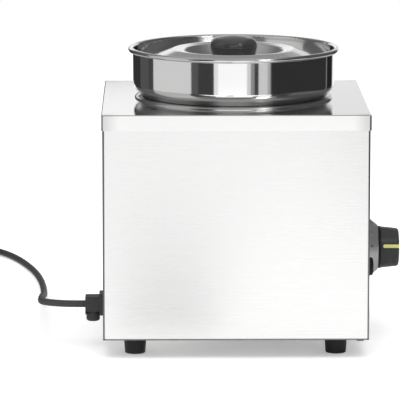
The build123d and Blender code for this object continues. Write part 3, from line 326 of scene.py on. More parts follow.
def turned_rings_group():
    """Fine rings round an upright axis, as a polishing wheel leaves them."""
    inputs = [("Vector", "NodeSocketVector"), ("Axis X", "NodeSocketFloat"), ("Density", "NodeSocketFloat")]
    group, way_in, way_out = new_group("turned_rings", inputs, ["Value"])
    noise = group.nodes.new("ShaderNodeTexNoise")
    noise.noise_dimensions = "1D"
    noise.inputs["Scale"].default_value = 1.0
    noise.inputs["Detail"].default_value = 4.0
    dense = add_math(group, "MULTIPLY", axis_distance(group, way_in), way_in.outputs["Density"])
    group.links.new(dense, noise.inputs["W"])
    group.links.new(noise.outputs["Fac"], way_out.inputs["Value"])
    return group


turned_rings = turned_rings_group()
print("nodes in the rings:", len(turned_rings.nodes))

# %% [markdown]
# Three masks mark zones of a piece: the upright folds of a sheet box, all that is below a level, and all that
# is inside a radius. Each is 1 in its zone and fades out softly at its edge.

# %% Masks for zones
def soft_step(group, value, start, end, before, after):
    """A value that goes softly from before, where the source is at start, to after, where it is at end."""
    node = group.nodes.new("ShaderNodeMapRange")
    node.interpolation_type = "SMOOTHSTEP"
    node.inputs["To Min"].default_value = before
    node.inputs["To Max"].default_value = after
    group.links.new(value, node.inputs["Value"])
    group.links.new(start, node.inputs["From Min"])
    group.links.new(end, node.inputs["From Max"])
    return node.outputs["Result"]


def folded_corners_group():
    """How near a point of a square sheet box is to an upright fold: 1 at the fold, 0 further than Reach."""
    inputs = [("Vector", "NodeSocketVector"), ("Axis X", "NodeSocketFloat")]
    inputs += [("Half Width", "NodeSocketFloat"), ("Reach", "NodeSocketFloat")]
    group, way_in, way_out = new_group("folded_corners", inputs, ["Value"])
    parts = group.nodes.new("ShaderNodeSeparateXYZ")
    group.links.new(way_in.outputs["Vector"], parts.inputs[0])
    shifted = add_math(group, "SUBTRACT", parts.outputs["X"], way_in.outputs["Axis X"])
    side = add_math(group, "ABSOLUTE", shifted)
    front = add_math(group, "ABSOLUTE", parts.outputs["Y"])
    nearer = add_math(group, "MINIMUM", side, front)
    fold = way_in.outputs["Half Width"]
    inner = add_math(group, "SUBTRACT", fold, way_in.outputs["Reach"])
    group.links.new(soft_step(group, nearer, inner, fold, 0.0, 1.0), way_out.inputs["Value"])
    return group


def below_level_group():
    """1 below a level, 0 further above it than Reach; with Reach below zero, 1 above and 0 below."""
    inputs = [("Vector", "NodeSocketVector"), ("Level", "NodeSocketFloat"), ("Reach", "NodeSocketFloat")]
    group, way_in, way_out = new_group("below_level", inputs, ["Value"])
    parts = group.nodes.new("ShaderNodeSeparateXYZ")
    group.links.new(way_in.outputs["Vector"], parts.inputs[0])
    level = way_in.outputs["Level"]
    above = add_math(group, "ADD", level, way_in.outputs["Reach"])
    group.links.new(soft_step(group, parts.outputs["Z"], level, above, 1.0, 0.0), way_out.inputs["Value"])
    return group


def inside_radius_group():
    """1 nearer to an upright axis than Radius, 0 further out than Radius and Reach together."""
    inputs = [("Vector", "NodeSocketVector"), ("Axis X", "NodeSocketFloat")]
    inputs += [("Radius", "NodeSocketFloat"), ("Reach", "NodeSocketFloat")]
    group, way_in, way_out = new_group("inside_radius", inputs, ["Value"])
    radius = way_in.outputs["Radius"]
    outer = add_math(group, "ADD", radius, way_in.outputs["Reach"])
    distance = axis_distance(group, way_in)
    group.links.new(soft_step(group, distance, radius, outer, 1.0, 0.0), way_out.inputs["Value"])
    return group


folded_corners = folded_corners_group()
below_level = below_level_group()
inside_radius = inside_radius_group()
print("shared effects:", [group.name for group in bpy.data.node_groups])

# %% [markdown]
# ### Metals
# Brushed sheet has thousands of short scratches in one direction: along them it mirrors, across them it
# blurs. The sheet of the casing is brushed level all round, the cap from side to side.
# Polished metal keeps a sharp mirror with faint rings from the wheel, and slight smudges.

# %% Brushed and polished steel
def brushed_finish(name, colour, stretch, roughness, depth, metallic=1.0):
    """Sheet steel with drawn-out scratches: tone, gloss and relief follow the same lines."""
    material, tree, shader = new_finish(name)
    shader.inputs["Metallic"].default_value = metallic
    lines = use_group(tree, brush_lines)
    lines.inputs["Stretch"].default_value = stretch
    dark = [channel * 0.965 for channel in colour]
    tree.links.new(tint(tree, lines.outputs["Value"], dark, colour), shader.inputs["Base Color"])
    gloss = spread(tree, lines.outputs["Value"], roughness * 0.8, roughness * 1.25)
    tree.links.new(gloss, shader.inputs["Roughness"])
    bump(tree, shader, lines.outputs["Value"], depth, 0.35)
    return material


def polished_finish(name, colour, roughness, density):
    """Mirror-polished steel with faint rings from the wheel and soft smudges."""
    material, tree, shader = new_finish(name)
    shader.inputs["Metallic"].default_value = 1.0
    rings = use_group(tree, turned_rings)
    rings.inputs["Axis X"].default_value = pot_axis_x
    rings.inputs["Density"].default_value = density
    smudge = use_group(tree, soft_smudge)
    smudge.inputs["Stretch"].default_value = (22, 22, 30)
    dark = [channel * 0.95 for channel in colour]
    tree.links.new(tint(tree, smudge.outputs["Value"], dark, colour), shader.inputs["Base Color"])
    gloss = spread(tree, smudge.outputs["Value"], roughness * 0.6, roughness * 1.4)
    tree.links.new(gloss, shader.inputs["Roughness"])
    bump(tree, shader, rings.outputs["Value"], 0.000004, 0.2)
    return material


finishes = {
    "wrap_steel": brushed_finish("wrap_steel", (0.92, 0.92, 0.915), (7, 7, 1300), 0.28, 0.000008),
    "cap_steel": brushed_finish("cap_steel", (0.89, 0.89, 0.885), (7, 1300, 1300), 0.10, 0.00001),
    "pot_steel": polished_finish("pot_steel", (0.95, 0.95, 0.945), 0.07, 2200),
    # The lid's and the collar's colours are darker copies of the pot's polished steel: painted shade.
    "lid_steel": polished_finish("lid_steel", (0.82, 0.82, 0.815), 0.15, 2200),
    "collar_steel": polished_finish("collar_steel", (0.62, 0.62, 0.615), 0.2, 2200),
    "plain_steel": brushed_finish("plain_steel", (0.62, 0.62, 0.61), (60, 60, 60), 0.34, 0.00002),
    "fastener_steel": brushed_finish("fastener_steel", (0.66, 0.66, 0.64), (300, 300, 900), 0.3, 0.00002),
    # The bonding screw under the casing's corner gets a darkened copy of the fastener steel: painted shade.
    "darkened_screw_steel": brushed_finish("darkened_screw_steel", (0.20, 0.20, 0.20), (300, 300, 900), 0.4, 0.00002),
    "brass": brushed_finish("brass", (0.78, 0.60, 0.30), (300, 300, 900), 0.3, 0.00002),
    "copper_bulb": brushed_finish("copper_bulb", (0.80, 0.46, 0.32), (40, 900, 900), 0.3, 0.00002),
    "heater_sheath": brushed_finish("heater_sheath", (0.30, 0.29, 0.28), (220, 220, 220), 0.45, 0.00003),
    "cutout_metal": brushed_finish("cutout_metal", (0.70, 0.70, 0.69), (200, 200, 700), 0.33, 0.00002),
    "pin_metal": brushed_finish("pin_metal", (0.80, 0.79, 0.76), (400, 400, 1500), 0.2, 0.00001),
    "bezel_silver": brushed_finish("bezel_silver", (0.48, 0.48, 0.49), (900, 900, 900), 0.45, 0.00002, 0.86),
}
print("metals:", len(finishes))

# %% [markdown]
# Sheet and spun metal isn't even all over. The polishing wheel leaves it satin in a bend, in a recess or
# round a rim. Painted shade darkens the colour along a fold, at an edge near the table, on the pot's shoulder
# and rim and in the lid's dish. Each such zone is a mask that either darkens the colour or blends in another
# roughness.

# %% Zones of the steel
def zone(material, group, settings):
    """The material's tree and shader, and the mask of a zone that a group works out from its settings."""
    tree = material.node_tree
    shader = next(node for node in tree.nodes if node.type == "BSDF_PRINCIPLED")
    mask = use_group(tree, group)
    for socket, value in settings.items():
        mask.inputs[socket].default_value = value
    return tree, shader, mask.outputs["Value"]


def shade(material, share, group, settings):
    """Painted shade: a zone whose colour is darker by a share."""
    tree, shader, mask = zone(material, group, settings)
    colour = shader.inputs["Base Color"].links[0].from_socket
    blend = tree.nodes.new("ShaderNodeMix")
    blend.data_type = "RGBA"
    blend.blend_type = "MULTIPLY"
    blend.inputs["B"].default_value = (1 - share, 1 - share, 1 - share, 1)
    tree.links.new(mask, blend.inputs["Factor"])
    tree.links.new(colour, blend.inputs["A"])
    tree.links.new(blend.outputs["Result"], shader.inputs["Base Color"])


def dull(material, roughness, group, settings):
    """A satin zone with a roughness of its own."""
    tree, shader, mask = zone(material, group, settings)
    gloss = shader.inputs["Roughness"].links[0].from_socket
    blend = tree.nodes.new("ShaderNodeMix")
    blend.inputs["B"].default_value = roughness
    tree.links.new(mask, blend.inputs["Factor"])
    tree.links.new(gloss, blend.inputs["A"])
    tree.links.new(blend.outputs["Result"], shader.inputs["Roughness"])


wrap_folds = {"Axis X": pot_axis_x, "Half Width": 0.1303, "Reach": 0.0012}
wrap_foot = {"Level": 0.0194, "Reach": 0.0008}
cap_folds = {"Axis X": pot_axis_x, "Half Width": 0.1325, "Reach": 0.020}
pot_shoulder = {"Level": 0.2530, "Reach": 0.0040}
pot_bend = {"Level": 0.2535, "Reach": 0.0025}
pot_rim = {"Level": 0.2905, "Reach": -0.0010}
lid_dish = {"Axis X": pot_axis_x, "Radius": 0.0495, "Reach": 0.0015}
# Painted shade: the casing's sheet is darker at its upright folds and along its lower edge by the table.
shade(finishes["wrap_steel"], 0.8, folded_corners, wrap_folds)
shade(finishes["wrap_steel"], 0.8, below_level, wrap_foot)
# Painted shade: the cap's colour darkens towards its upright corners.
shade(finishes["cap_steel"], 0.25, folded_corners, cap_folds)
# Painted shade: the pot's colour is darker on the shoulder below its upright wall.
shade(finishes["pot_steel"], 0.32, below_level, pot_shoulder)
dull(finishes["pot_steel"], 0.22, below_level, pot_bend)
dull(finishes["pot_steel"], 0.14, below_level, pot_rim)
# Painted shade: the pot's rim bead above this level is darker.
shade(finishes["pot_steel"], 0.18, below_level, pot_rim)
dull(finishes["lid_steel"], 0.45, inside_radius, lid_dish)
# Painted shade: the lid's dish round the knob is darker.
shade(finishes["lid_steel"], 0.20, inside_radius, lid_dish)
print("nodes in the pot's finish:", len(finishes["pot_steel"].node_tree.nodes))

# %% [markdown]
# ### Plastics, rubber and the rest
# Moulded black plastic is never one flat black: it has a faint grain, a slightly uneven gloss, and on the
# phenolic knobs a clear shine. Rubber is rougher and a little greyer.

# %% Moulded finishes
def moulded_finish(name, colour, grain, roughness, depth, shine):
    """Moulded plastic or rubber: fine grain in the relief, soft patches in the colour and gloss."""
    material, tree, shader = new_finish(name)
    fine = use_group(tree, moulded_grain)
    fine.inputs["Stretch"].default_value = (grain, grain, grain)
    patch = use_group(tree, soft_smudge)
    patch.inputs["Stretch"].default_value = (70, 70, 70)
    light = [min(1.0, channel * 1.18 + 0.003) for channel in colour]
    tree.links.new(tint(tree, patch.outputs["Value"], colour, light), shader.inputs["Base Color"])
    gloss = spread(tree, patch.outputs["Value"], roughness * 0.8, min(1.0, roughness * 1.2))
    tree.links.new(gloss, shader.inputs["Roughness"])
    shader.inputs["Specular IOR Level"].default_value = shine
    bump(tree, shader, fine.outputs["Value"], depth, 0.4)
    return material


moulded = {
    "foot_rubber": ((0.013, 0.013, 0.013), 1800, 0.55, 0.00012, 0.3),
    "gasket_silicone": ((0.55, 0.16, 0.10), 1500, 0.6, 0.0001, 0.4),
    "ceramic_white": ((0.80, 0.78, 0.74), 1200, 0.4, 0.00006, 0.5),
    "phenolic_black": ((0.043, 0.041, 0.041), 900, 0.22, 0.00003, 0.6),
    "knob_black": ((0.040, 0.040, 0.041), 1500, 0.26, 0.00002, 0.16),
    "pointer_yellow": ((0.64, 0.63, 0.21), 1500, 0.45, 0.00004, 0.4),
    "lamp_black": ((0.007, 0.007, 0.0075), 1500, 0.4, 0.00004, 0.2),
    "grip_black": ((0.026, 0.026, 0.027), 2000, 0.48, 0.0001, 0.5),
    "lead_brown": ((0.17, 0.075, 0.035), 1800, 0.5, 0.00004, 0.5),
    "lead_blue": ((0.05, 0.13, 0.42), 1800, 0.5, 0.00004, 0.5),
    "lead_black": ((0.03, 0.03, 0.03), 1800, 0.5, 0.00004, 0.5),
    "lead_green": ((0.27, 0.42, 0.07), 1800, 0.5, 0.00004, 0.5),
    "cord_rubber": ((0.045, 0.045, 0.047), 2600, 0.52, 0.0001, 0.4),
    "tie_black": ((0.022, 0.022, 0.023), 2200, 0.8, 0.0002, 0.2),
    "print_black": ((0.02, 0.02, 0.02), 2200, 0.6, 0.00002, 0.3),
}
for finish_name, (colour, grain, roughness, depth, shine) in moulded.items():
    finishes[finish_name] = moulded_finish(finish_name, colour, grain, roughness, depth, shine)
print("finishes so far:", len(finishes))

# %% [markdown]
# Two finishes stand alone: the matted fibre of the jacket, and the lamp's dark lens with its moulded facets.

# %% Mineral wool and the lamp's lens
material, tree, shader = new_finish("mineral_wool")
fibre = use_group(tree, brush_lines)
fibre.inputs["Stretch"].default_value = (380, 380, 90)
tree.links.new(
    tint(tree, fibre.outputs["Value"], (0.30, 0.25, 0.13), (0.66, 0.60, 0.42)),
    shader.inputs["Base Color"],
)
shader.inputs["Roughness"].default_value = 0.95
bump(tree, shader, fibre.outputs["Value"], 0.0015, 0.8)
finishes["mineral_wool"] = material

material, tree, shader = new_finish("lamp_glass")
facets = use_group(tree, moulded_grain)
facets.inputs["Stretch"].default_value = (900, 900, 900)
tree.links.new(
    tint(tree, facets.outputs["Value"], (0.008, 0.004, 0.003), (0.020, 0.008, 0.006)),
    shader.inputs["Base Color"],
)
shader.inputs["Roughness"].default_value = 0.16
shader.inputs["Specular IOR Level"].default_value = 0.3
bump(tree, shader, facets.outputs["Value"], 0.0002, 0.3)
finishes["lamp_glass"] = material
print("finishes:", len(finishes))

# %% [markdown]
# The record names a material for every solid. A few that the camera sees best have a finish of their own.

# %% Give each node its finish
own_finish = {
    "body_wrap": "wrap_steel",
    "top_cap": "cap_steel",
    "food_pot": "pot_steel",
    "lid_shell": "lid_steel",
    "collar_ring": "collar_steel",
    # The bonding screw under the corner takes the darkened steel: painted shade.
    "bonding_screw": "darkened_screw_steel",
}
for row in frame["record"]["subparts"]:
    node = nodes[row["node"]]
    finish = own_finish.get(row["node"], row["material_slot"])
    node.data.materials.clear()
    node.data.materials.append(finishes[finish])

# %% [markdown]
# ## Table and cards
# A white table keeps the soft shadow under the feet. Polished metal only looks like metal when it has
# something dark to mirror, so a photographer stands narrow dark and grey cards round it. The cards here
# hide from the camera and from the soft light, and only mirror-like surfaces see them.

# %% Table
def deselect():
    """Nothing selected, so that the next operator acts on the new piece alone."""
    bpy.ops.object.select_all(action="DESELECT")


deselect()
bpy.ops.mesh.primitive_circle_add(vertices=96, radius=2.2, fill_type="NGON", location=(0, 0.3, 0))
table = bpy.context.object
table.name = "white_table"
material, tree, shader = new_finish("white_table")
shader.inputs["Roughness"].default_value = 0.9
shader.inputs["Specular IOR Level"].default_value = 0.0
paper = use_group(tree, moulded_grain)
paper.inputs["Stretch"].default_value = (900, 900, 900)
tree.links.new(
    tint(tree, paper.outputs["Value"], (0.93, 0.93, 0.93), (0.95, 0.95, 0.95)),
    shader.inputs["Base Color"],
)
ray_kind = tree.nodes.new("ShaderNodeLightPath").outputs
seen_lift = spread(tree, ray_kind["Is Camera Ray"], 0.0, 0.28)
mirrored_lift = spread(tree, ray_kind["Is Glossy Ray"], 0.0, 0.06)
tree.links.new(add_math(tree, "MAXIMUM", seen_lift, mirrored_lift), shader.inputs["Emission Strength"])
shader.inputs["Emission Color"].default_value = (1, 1, 1, 1)
table.data.materials.append(material)
print("table width:", round(table.dimensions.x, 2))

# %% Helpers for cards
def card_material(name, level):
    """A card that shows one plain level of grey to whatever mirrors it."""
    material = bpy.data.materials.new(name)
    material.use_nodes = True
    tree = material.node_tree
    tree.nodes.clear()
    output = tree.nodes.new("ShaderNodeOutputMaterial")
    glow = tree.nodes.new("ShaderNodeEmission")
    glow.inputs["Color"].default_value = (level, level, level, 1)
    tree.links.new(glow.outputs[0], output.inputs["Surface"])
    return material


def show_only_in_mirrors(card):
    """Only mirror-like surfaces see the card: it is hidden from the camera, the soft light, shadows and
    transmission.
    """
    card.visible_camera = False
    card.visible_diffuse = False
    card.visible_shadow = False
    card.visible_transmission = False


def paint_bands(screen, kind, bands):
    """Each band of azimuths, from the front, gets its level of grey, and the faces outside all bands go."""
    for start, end, level in bands:
        screen.data.materials.append(card_material(f"{kind}_{level}", level))
    bpy.ops.object.mode_set(mode="EDIT")
    bpy.ops.mesh.select_all(action="DESELECT")
    bpy.ops.object.mode_set(mode="OBJECT")
    for face in screen.data.polygons:
        azimuth = math.degrees(math.atan2(face.center.x, -face.center.y))
        spans = [place for place, (start, end, level) in enumerate(bands) if start <= azimuth < end]
        if spans:
            face.material_index = spans[0]
        else:
            face.select = True
    bpy.ops.object.mode_set(mode="EDIT")
    bpy.ops.mesh.delete(type="FACE")
    bpy.ops.object.mode_set(mode="OBJECT")
    show_only_in_mirrors(screen)


print("card helpers ready")

# %% [markdown]
# The cards stand in a ring, in tiers. The pot's upright wall mirrors the lowest tier, and its rim and the
# lid mirror the tiers above, so each tier has bands of its own. A band goes from one azimuth to another, in
# degrees from the front, and has one level of grey.

# %% Tiers of cards
card_distance = 0.95
card_steps = 720


def stand_cards(name, bottom, top, bands):
    """One tier of cards between two heights."""
    deselect()
    bpy.ops.mesh.primitive_cylinder_add(
        vertices=card_steps,
        radius=card_distance,
        depth=top - bottom,
        end_fill_type="NOTHING",
        location=(pot_axis_x, 0, (top + bottom) / 2),
    )
    cards = bpy.context.object
    cards.name = name
    paint_bands(cards, "card", bands)
    return cards


low_bands = [
    (-174, -130, 0.03),
    (-130, -110, 0.08),
    (-110, -101, 0.055),
    (-101, -48, 0.62),
    (-48, -40, 0.085),
    (-40, -22.3, 0.045),
    (-22.3, -18, 0.78),
    (13, 17, 0.64),
    (17, 21.2, 0.26),
    (21.2, 25.4, 0.05),
    (25.4, 35.6, 0.6),
    (35.6, 38.3, 0.4),
    (38.3, 39.7, 0.2),
    (39.7, 124.5, 0.028),
    (124.5, 127, 0.2),
    (127, 145, 0.015),
    (145, 149, 0.4),
]
middle_bands = [
    (-152, -105, 0.12),
    (-105, -50, 0.5),
    (-50, -22, 0.06),
    (21, 26, 0.07),
    (41, 64, 0.05),
    (64, 152, 0.12),
    (158, 172, 0.8),
]
high_bands = [
    (-152, -105, 0.2),
    (-105, -50, 0.64),
    (-50, 29, 0.2),
    (46, 52, 0.35),
    (52, 152, 0.08),
]
low_cards = stand_cards("low_cards", 0.002, 0.34, low_bands)
middle_cards = stand_cards("middle_cards", 0.34, 0.8, middle_bands)
high_cards = stand_cards("high_cards", 0.8, 1.5, high_bands)
crown_cards = stand_cards("crown_cards", 1.5, 1.7, [(-152, 152, 0.24)])
back_card = stand_cards("back_card", 0.6, 1.7, [(-180, -152, 0.32), (152, 181, 0.32)])
standing = [low_cards, middle_cards, high_cards, crown_cards, back_card]
print("card faces:", [len(cards.data.polygons) for cards in standing])

# %% [markdown]
# A card above closes the ring, a pale strip on the table lies in front, and one small bright card at the
# front right stands for a softbox: it gives the black knobs their glint.

# %% Card overhead, strip on the table and softbox
deselect()
bpy.ops.mesh.primitive_circle_add(
    vertices=96, radius=card_distance, fill_type="NGON", location=(pot_axis_x, 0, 1.7)
)
overhead = bpy.context.object
overhead.name = "overhead_card"
overhead.data.materials.append(card_material("card_overhead", 0.42))
deselect()
bpy.ops.mesh.primitive_plane_add(size=1, location=(pot_axis_x - 0.068, -0.85, 0.0005))
strip = bpy.context.object
strip.name = "table_strip"
strip.scale = (0.10, 1.2, 1)
bpy.ops.object.transform_apply(location=False, rotation=False, scale=True)
strip.data.materials.append(card_material("card_strip", 0.74))
deselect()
bpy.ops.mesh.primitive_plane_add(size=1, location=(0.63, -1.02, 1.2))
softbox = bpy.context.object
softbox.name = "softbox_card"
softbox.scale = (0.42, 0.13, 1)
lid_knob_middle = Vector((0, 0, 0.295))
softbox_aim = softbox.location - lid_knob_middle
softbox.rotation_euler = softbox_aim.to_track_quat("Z", "Y").to_euler()
softbox.data.materials.append(card_material("card_softbox", 10.0))
for card in (overhead, strip, softbox):
    show_only_in_mirrors(card)
print("more cards:", [overhead.name, strip.name, softbox.name])

# %% [markdown]
# A grey cloth lies on the table at the sides and behind, again only for mirrors: without it the sides of the
# casing would mirror nothing but white.

# %% Grey cloth round the sides
cloth_bands = [
    (-180, -82, 0.50),
    (-82, -38, 0.80),
    (82, 181, 0.56),
]
deselect()
bpy.ops.mesh.primitive_circle_add(
    vertices=180, radius=1.4, fill_type="TRIFAN", location=(pot_axis_x, 0, 0.0004)
)
cloth = bpy.context.object
cloth.name = "grey_cloth"
paint_bands(cloth, "cloth", cloth_bands)
print("cloth faces:", len(cloth.data.polygons))

# %% [markdown]
# ## Strap round the coil
# A hook-and-loop strap holds the coil together: a flat woven band that goes once round all the turns and
# laps over itself on top. A curve with a flat profile could make it, but a box without its two ends is
# quicker: its long edges are rounded, a second layer is lifted off its top for the lap, and both get the
# thickness of the band. It is shaped at the origin and then turned to its place on the coil.

# %% Helpers for modelling
def pick_faces(piece, wanted):
    """In edit mode, with only those faces selected for which wanted(face) is true."""
    bpy.ops.object.mode_set(mode="EDIT")
    bpy.ops.mesh.select_mode(type="FACE")
    bpy.ops.mesh.select_all(action="DESELECT")
    bpy.ops.object.mode_set(mode="OBJECT")
    for face in piece.data.polygons:
        face.select = bool(wanted(face))
    bpy.ops.object.mode_set(mode="EDIT")


def pick_edges(piece, wanted):
    """In edit mode, with only those edges selected for which wanted(start, end) is true."""
    bpy.ops.object.mode_set(mode="EDIT")
    bpy.ops.mesh.select_mode(type="EDGE")
    bpy.ops.mesh.select_all(action="DESELECT")
    bpy.ops.object.mode_set(mode="OBJECT")
    corners = piece.data.vertices
    for edge in piece.data.edges:
        start, end = edge.vertices
        edge.select = bool(wanted(corners[start].co, corners[end].co))
    bpy.ops.object.mode_set(mode="EDIT")


def new_box(name, size, middle=(0, 0, 0)):
    """A box of a given size to start a piece from, alone in the selection."""
    deselect()
    bpy.ops.mesh.primitive_cube_add(size=1, location=middle, scale=size)
    piece = bpy.context.object
    piece.name = name
    bpy.ops.object.transform_apply(location=True, rotation=False, scale=True)
    return piece


def apply_modifier(piece, kind, **settings):
    """One modifier, set and applied."""
    modifier = piece.modifiers.new(kind.lower(), kind)
    for setting, value in settings.items():
        setattr(modifier, setting, value)
    bpy.ops.object.modifier_apply(modifier=modifier.name)


def finish_piece(piece, finish, body="casing"):
    """The place goes into the mesh; then the piece gets its shading, finish and body."""
    deselect()
    piece.select_set(True)
    bpy.context.view_layer.objects.active = piece
    bpy.ops.object.transform_apply(location=True, rotation=True, scale=True)
    bpy.ops.object.shade_smooth_by_angle(angle=math.radians(35))
    piece.data.materials.clear()
    piece.data.materials.append(finishes[finish])
    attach(piece, body)


print("modelling helpers ready")

# %% Woven strap
strap_thick = 0.0008
strap_wide = 0.009
strap_round = 0.0042
strap_clear = 0.0003
strap_near = min(coil_radii) - cord_radius - strap_clear - strap_thick
strap_far = max(coil_radii) + cord_radius + strap_clear + strap_thick
strap_high = 2 * cord_radius + max(coil_levels) + 2 * strap_clear + 2 * strap_thick
strap = new_box(
    "coil_strap",
    (strap_far - strap_near, strap_wide, strap_high),
    ((strap_far + strap_near) / 2, 0, strap_high / 2),
)
pick_faces(strap, lambda face: abs(face.normal.y) > 0.9)
bpy.ops.mesh.delete(type="ONLY_FACE")
pick_edges(strap, lambda start, end: abs(start.y - end.y) > strap_wide / 2)
bpy.ops.mesh.bevel(offset=strap_round, offset_type="OFFSET", segments=8, affect="EDGES")
bpy.ops.object.mode_set(mode="OBJECT")
lap_start = strap_near + 0.35 * (strap_far - strap_near)
pick_faces(strap, lambda face: face.normal.z > 0.5)
bpy.ops.mesh.duplicate()
bpy.ops.transform.shrink_fatten(value=strap_thick * 1.05)
bpy.ops.mesh.bisect(plane_co=(lap_start, 0, 0), plane_no=(1, 0, 0), clear_inner=True)
bpy.ops.object.mode_set(mode="OBJECT")
apply_modifier(strap, "SOLIDIFY", thickness=strap_thick, offset=-1.0)
apply_modifier(strap, "BEVEL", width=0.00015, segments=2, limit_method="ANGLE")
strap.rotation_euler = (0, 0, math.atan2(-heading.y, -heading.x))
strap.location = (coil_centre.x, coil_centre.y, 0)
finish_piece(strap, "tie_black")
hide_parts("cord_tie")
print("strap faces:", len(strap.data.polygons))

# %% [markdown]
# ## Scale of the dial
# The silver bezel carries the thermostat's scale: a short stroke and a plain number for each step, printed
# in black. Print has almost no thickness, but a raised stroke of two tenths of a millimetre keeps it clean
# from every side. One stroke is shaped and copied round the dial, and the numbers are text made into mesh.
# The bezel is a cone, so each mark is tipped onto its slope before it is turned to its angle.

# %% Slope of the bezel
dial_height = 0.0882
bezel_base = (pot_axis_x + 0.1328, 0.0345)
bezel_top = (pot_axis_x + 0.1470, 0.0230)
slope_run = bezel_top[0] - bezel_base[0]
slope_drop = bezel_base[1] - bezel_top[1]
slope_length = math.hypot(slope_run, slope_drop)
slope_tilt = math.atan2(slope_drop, slope_run)
rest_angle = 12
print("bezel slope, degrees:", round(math.degrees(slope_tilt), 1))


def set_on_bezel(mark, along, turn):
    """A mark drawn flat, its top along +Y, laid on the bezel: along the slope, then round the dial's axis."""
    from_axis = bezel_base[1] - slope_drop * along / slope_length
    from_wall = bezel_base[0] + slope_run * along / slope_length
    angle = math.radians(rest_angle + turn)
    outward = Vector((0, -math.cos(angle), math.sin(angle)))
    up_slope = Vector((-math.cos(slope_tilt), 0, 0)) + outward * math.sin(slope_tilt)
    normal = Vector((math.sin(slope_tilt), 0, 0)) + outward * math.cos(slope_tilt)
    side = up_slope.cross(normal)
    place = Vector((from_wall, 0, dial_height)) + outward * from_axis
    matrix = Matrix((side, up_slope, normal)).transposed().to_4x4()
    matrix.translation = place + normal * 0.00005
    mark.matrix_world = matrix


# %% Strokes and numbers
stroke_size = (0.0007, 0.0038, 0.0002)
stroke_along = 0.0040
number_along = 0.0096
stroke = new_box("dial_stroke", stroke_size)
pick_edges(stroke, lambda start, end: abs(start.z - end.z) > 0.0001)
bpy.ops.mesh.bevel(offset=0.0003, offset_type="OFFSET", segments=3, affect="EDGES")
bpy.ops.object.mode_set(mode="OBJECT")
scale_steps = 10
step_angle = 30
marks = []
for step in range(scale_steps):
    mark = stroke.copy()
    mark.data = stroke.data.copy()
    mark.name = f"dial_stroke_{step}"
    scene.collection.objects.link(mark)
    set_on_bezel(mark, stroke_along, step * step_angle)
    marks.append(mark)
    deselect()
    bpy.ops.object.text_add()
    number = bpy.context.object
    number.name = f"dial_number_{step}"
    number.data.body = str(step)
    number.data.size = 0.0052
    number.data.align_x = "CENTER"
    number.data.align_y = "CENTER"
    number.data.extrude = 0.0001
    bpy.ops.object.convert(target="MESH")
    set_on_bezel(number, number_along, step * step_angle)
    marks.append(number)
bpy.data.objects.remove(stroke)
for mark in marks:
    finish_piece(mark, "print_black")
print("marks on the dial:", len(marks))

# %% [markdown]
# ## Ridge of the lid knob
# A phenolic knob is pressed in a two-part mould, and a low rounded ridge stays where the halves met. A torus
# could be laid there, but it would be round right through. A small section with rounded outer corners, spun
# round an axis, gives the true low ridge with a flat back that is hidden in the knob.

# %% Rings from a section
def spin_ring(name, inner, outer, height, corner):
    """A ring round the Z axis, spun from a section whose two outer corners are rounded."""
    deselect()
    bpy.ops.mesh.primitive_plane_add(size=1, rotation=(math.radians(90), 0, 0))
    ring = bpy.context.object
    ring.name = name
    ring.scale = (outer - inner, height, 1)
    ring.location = ((outer + inner) / 2, 0, 0)
    bpy.ops.object.transform_apply(location=True, rotation=True, scale=True)
    middle = (outer + inner) / 2
    for point in ring.data.vertices:
        point.select = point.co.x > middle
    bpy.ops.object.mode_set(mode="EDIT")
    bpy.ops.mesh.select_mode(type="VERT")
    bpy.ops.mesh.bevel(offset=corner, segments=4, affect="VERTICES")
    bpy.ops.mesh.select_all(action="SELECT")
    bpy.ops.mesh.delete(type="ONLY_FACE")
    bpy.ops.mesh.select_all(action="SELECT")
    bpy.ops.mesh.spin(steps=96, angle=math.tau, center=(0, 0, 0), axis=(0, 0, 1))
    bpy.ops.mesh.select_all(action="SELECT")
    bpy.ops.mesh.remove_doubles(threshold=0.000001)
    bpy.ops.mesh.normals_make_consistent(inside=False)
    bpy.ops.object.mode_set(mode="OBJECT")
    return ring


knob_ridge = spin_ring("lid_knob_ridge", 0.0222, 0.0241, 0.0016, 0.0007)
knob_ridge.location = (pot_axis_x, 0, 0.2950)
finish_piece(knob_ridge, "phenolic_black", "lid")
print("ridge faces:", len(knob_ridge.data.polygons))

# %% [markdown]
# ## Foot of the control knob
# The thermostat's knob stands on a narrow band that is darker than its grained side. It is a ring of the
# same section, tipped onto the dial's axis, and it turns with the knob.

# %% Foot of the control knob
knob_gap = 0.0006
foot_width = 0.0024
knob_foot = spin_ring("knob_foot", 0.0205, 0.0217, foot_width, 0.0004)
knob_foot.rotation_euler = (0, math.radians(90), 0)
knob_foot.location = (bezel_top[0] + knob_gap + foot_width / 2, 0, dial_height)
finish_piece(knob_foot, "lamp_black", "dial")
print("foot faces:", len(knob_foot.data.polygons))

# %% [markdown]
# ## Plug details
# The rubber boot behind the plug has ribs that let it bend without a kink: rings of the same section, each a
# little wider than the one before. An earthed plug of this kind also has a bent metal contact on two sides.
# Each contact starts as a box: its upper end is extruded on and tipped inwards, and its edges are rounded.

# %% Ribs of the boot
boot_axis = exit_heading.to_track_quat("Z", "Y")
boot_start_radius = 0.0046
boot_taper = 0.04
rib_places = (0.006, 0.011, 0.016, 0.021)
for rib, along in enumerate(rib_places):
    boot_radius = boot_start_radius + boot_taper * along
    ridge = spin_ring(f"boot_rib_{rib}", boot_radius - 0.0005, boot_radius + 0.0009, 0.0022, 0.0006)
    ridge.rotation_mode = "QUATERNION"
    ridge.rotation_quaternion = boot_axis
    ridge.location = coil_end + exit_heading * along
    finish_piece(ridge, "cord_rubber")

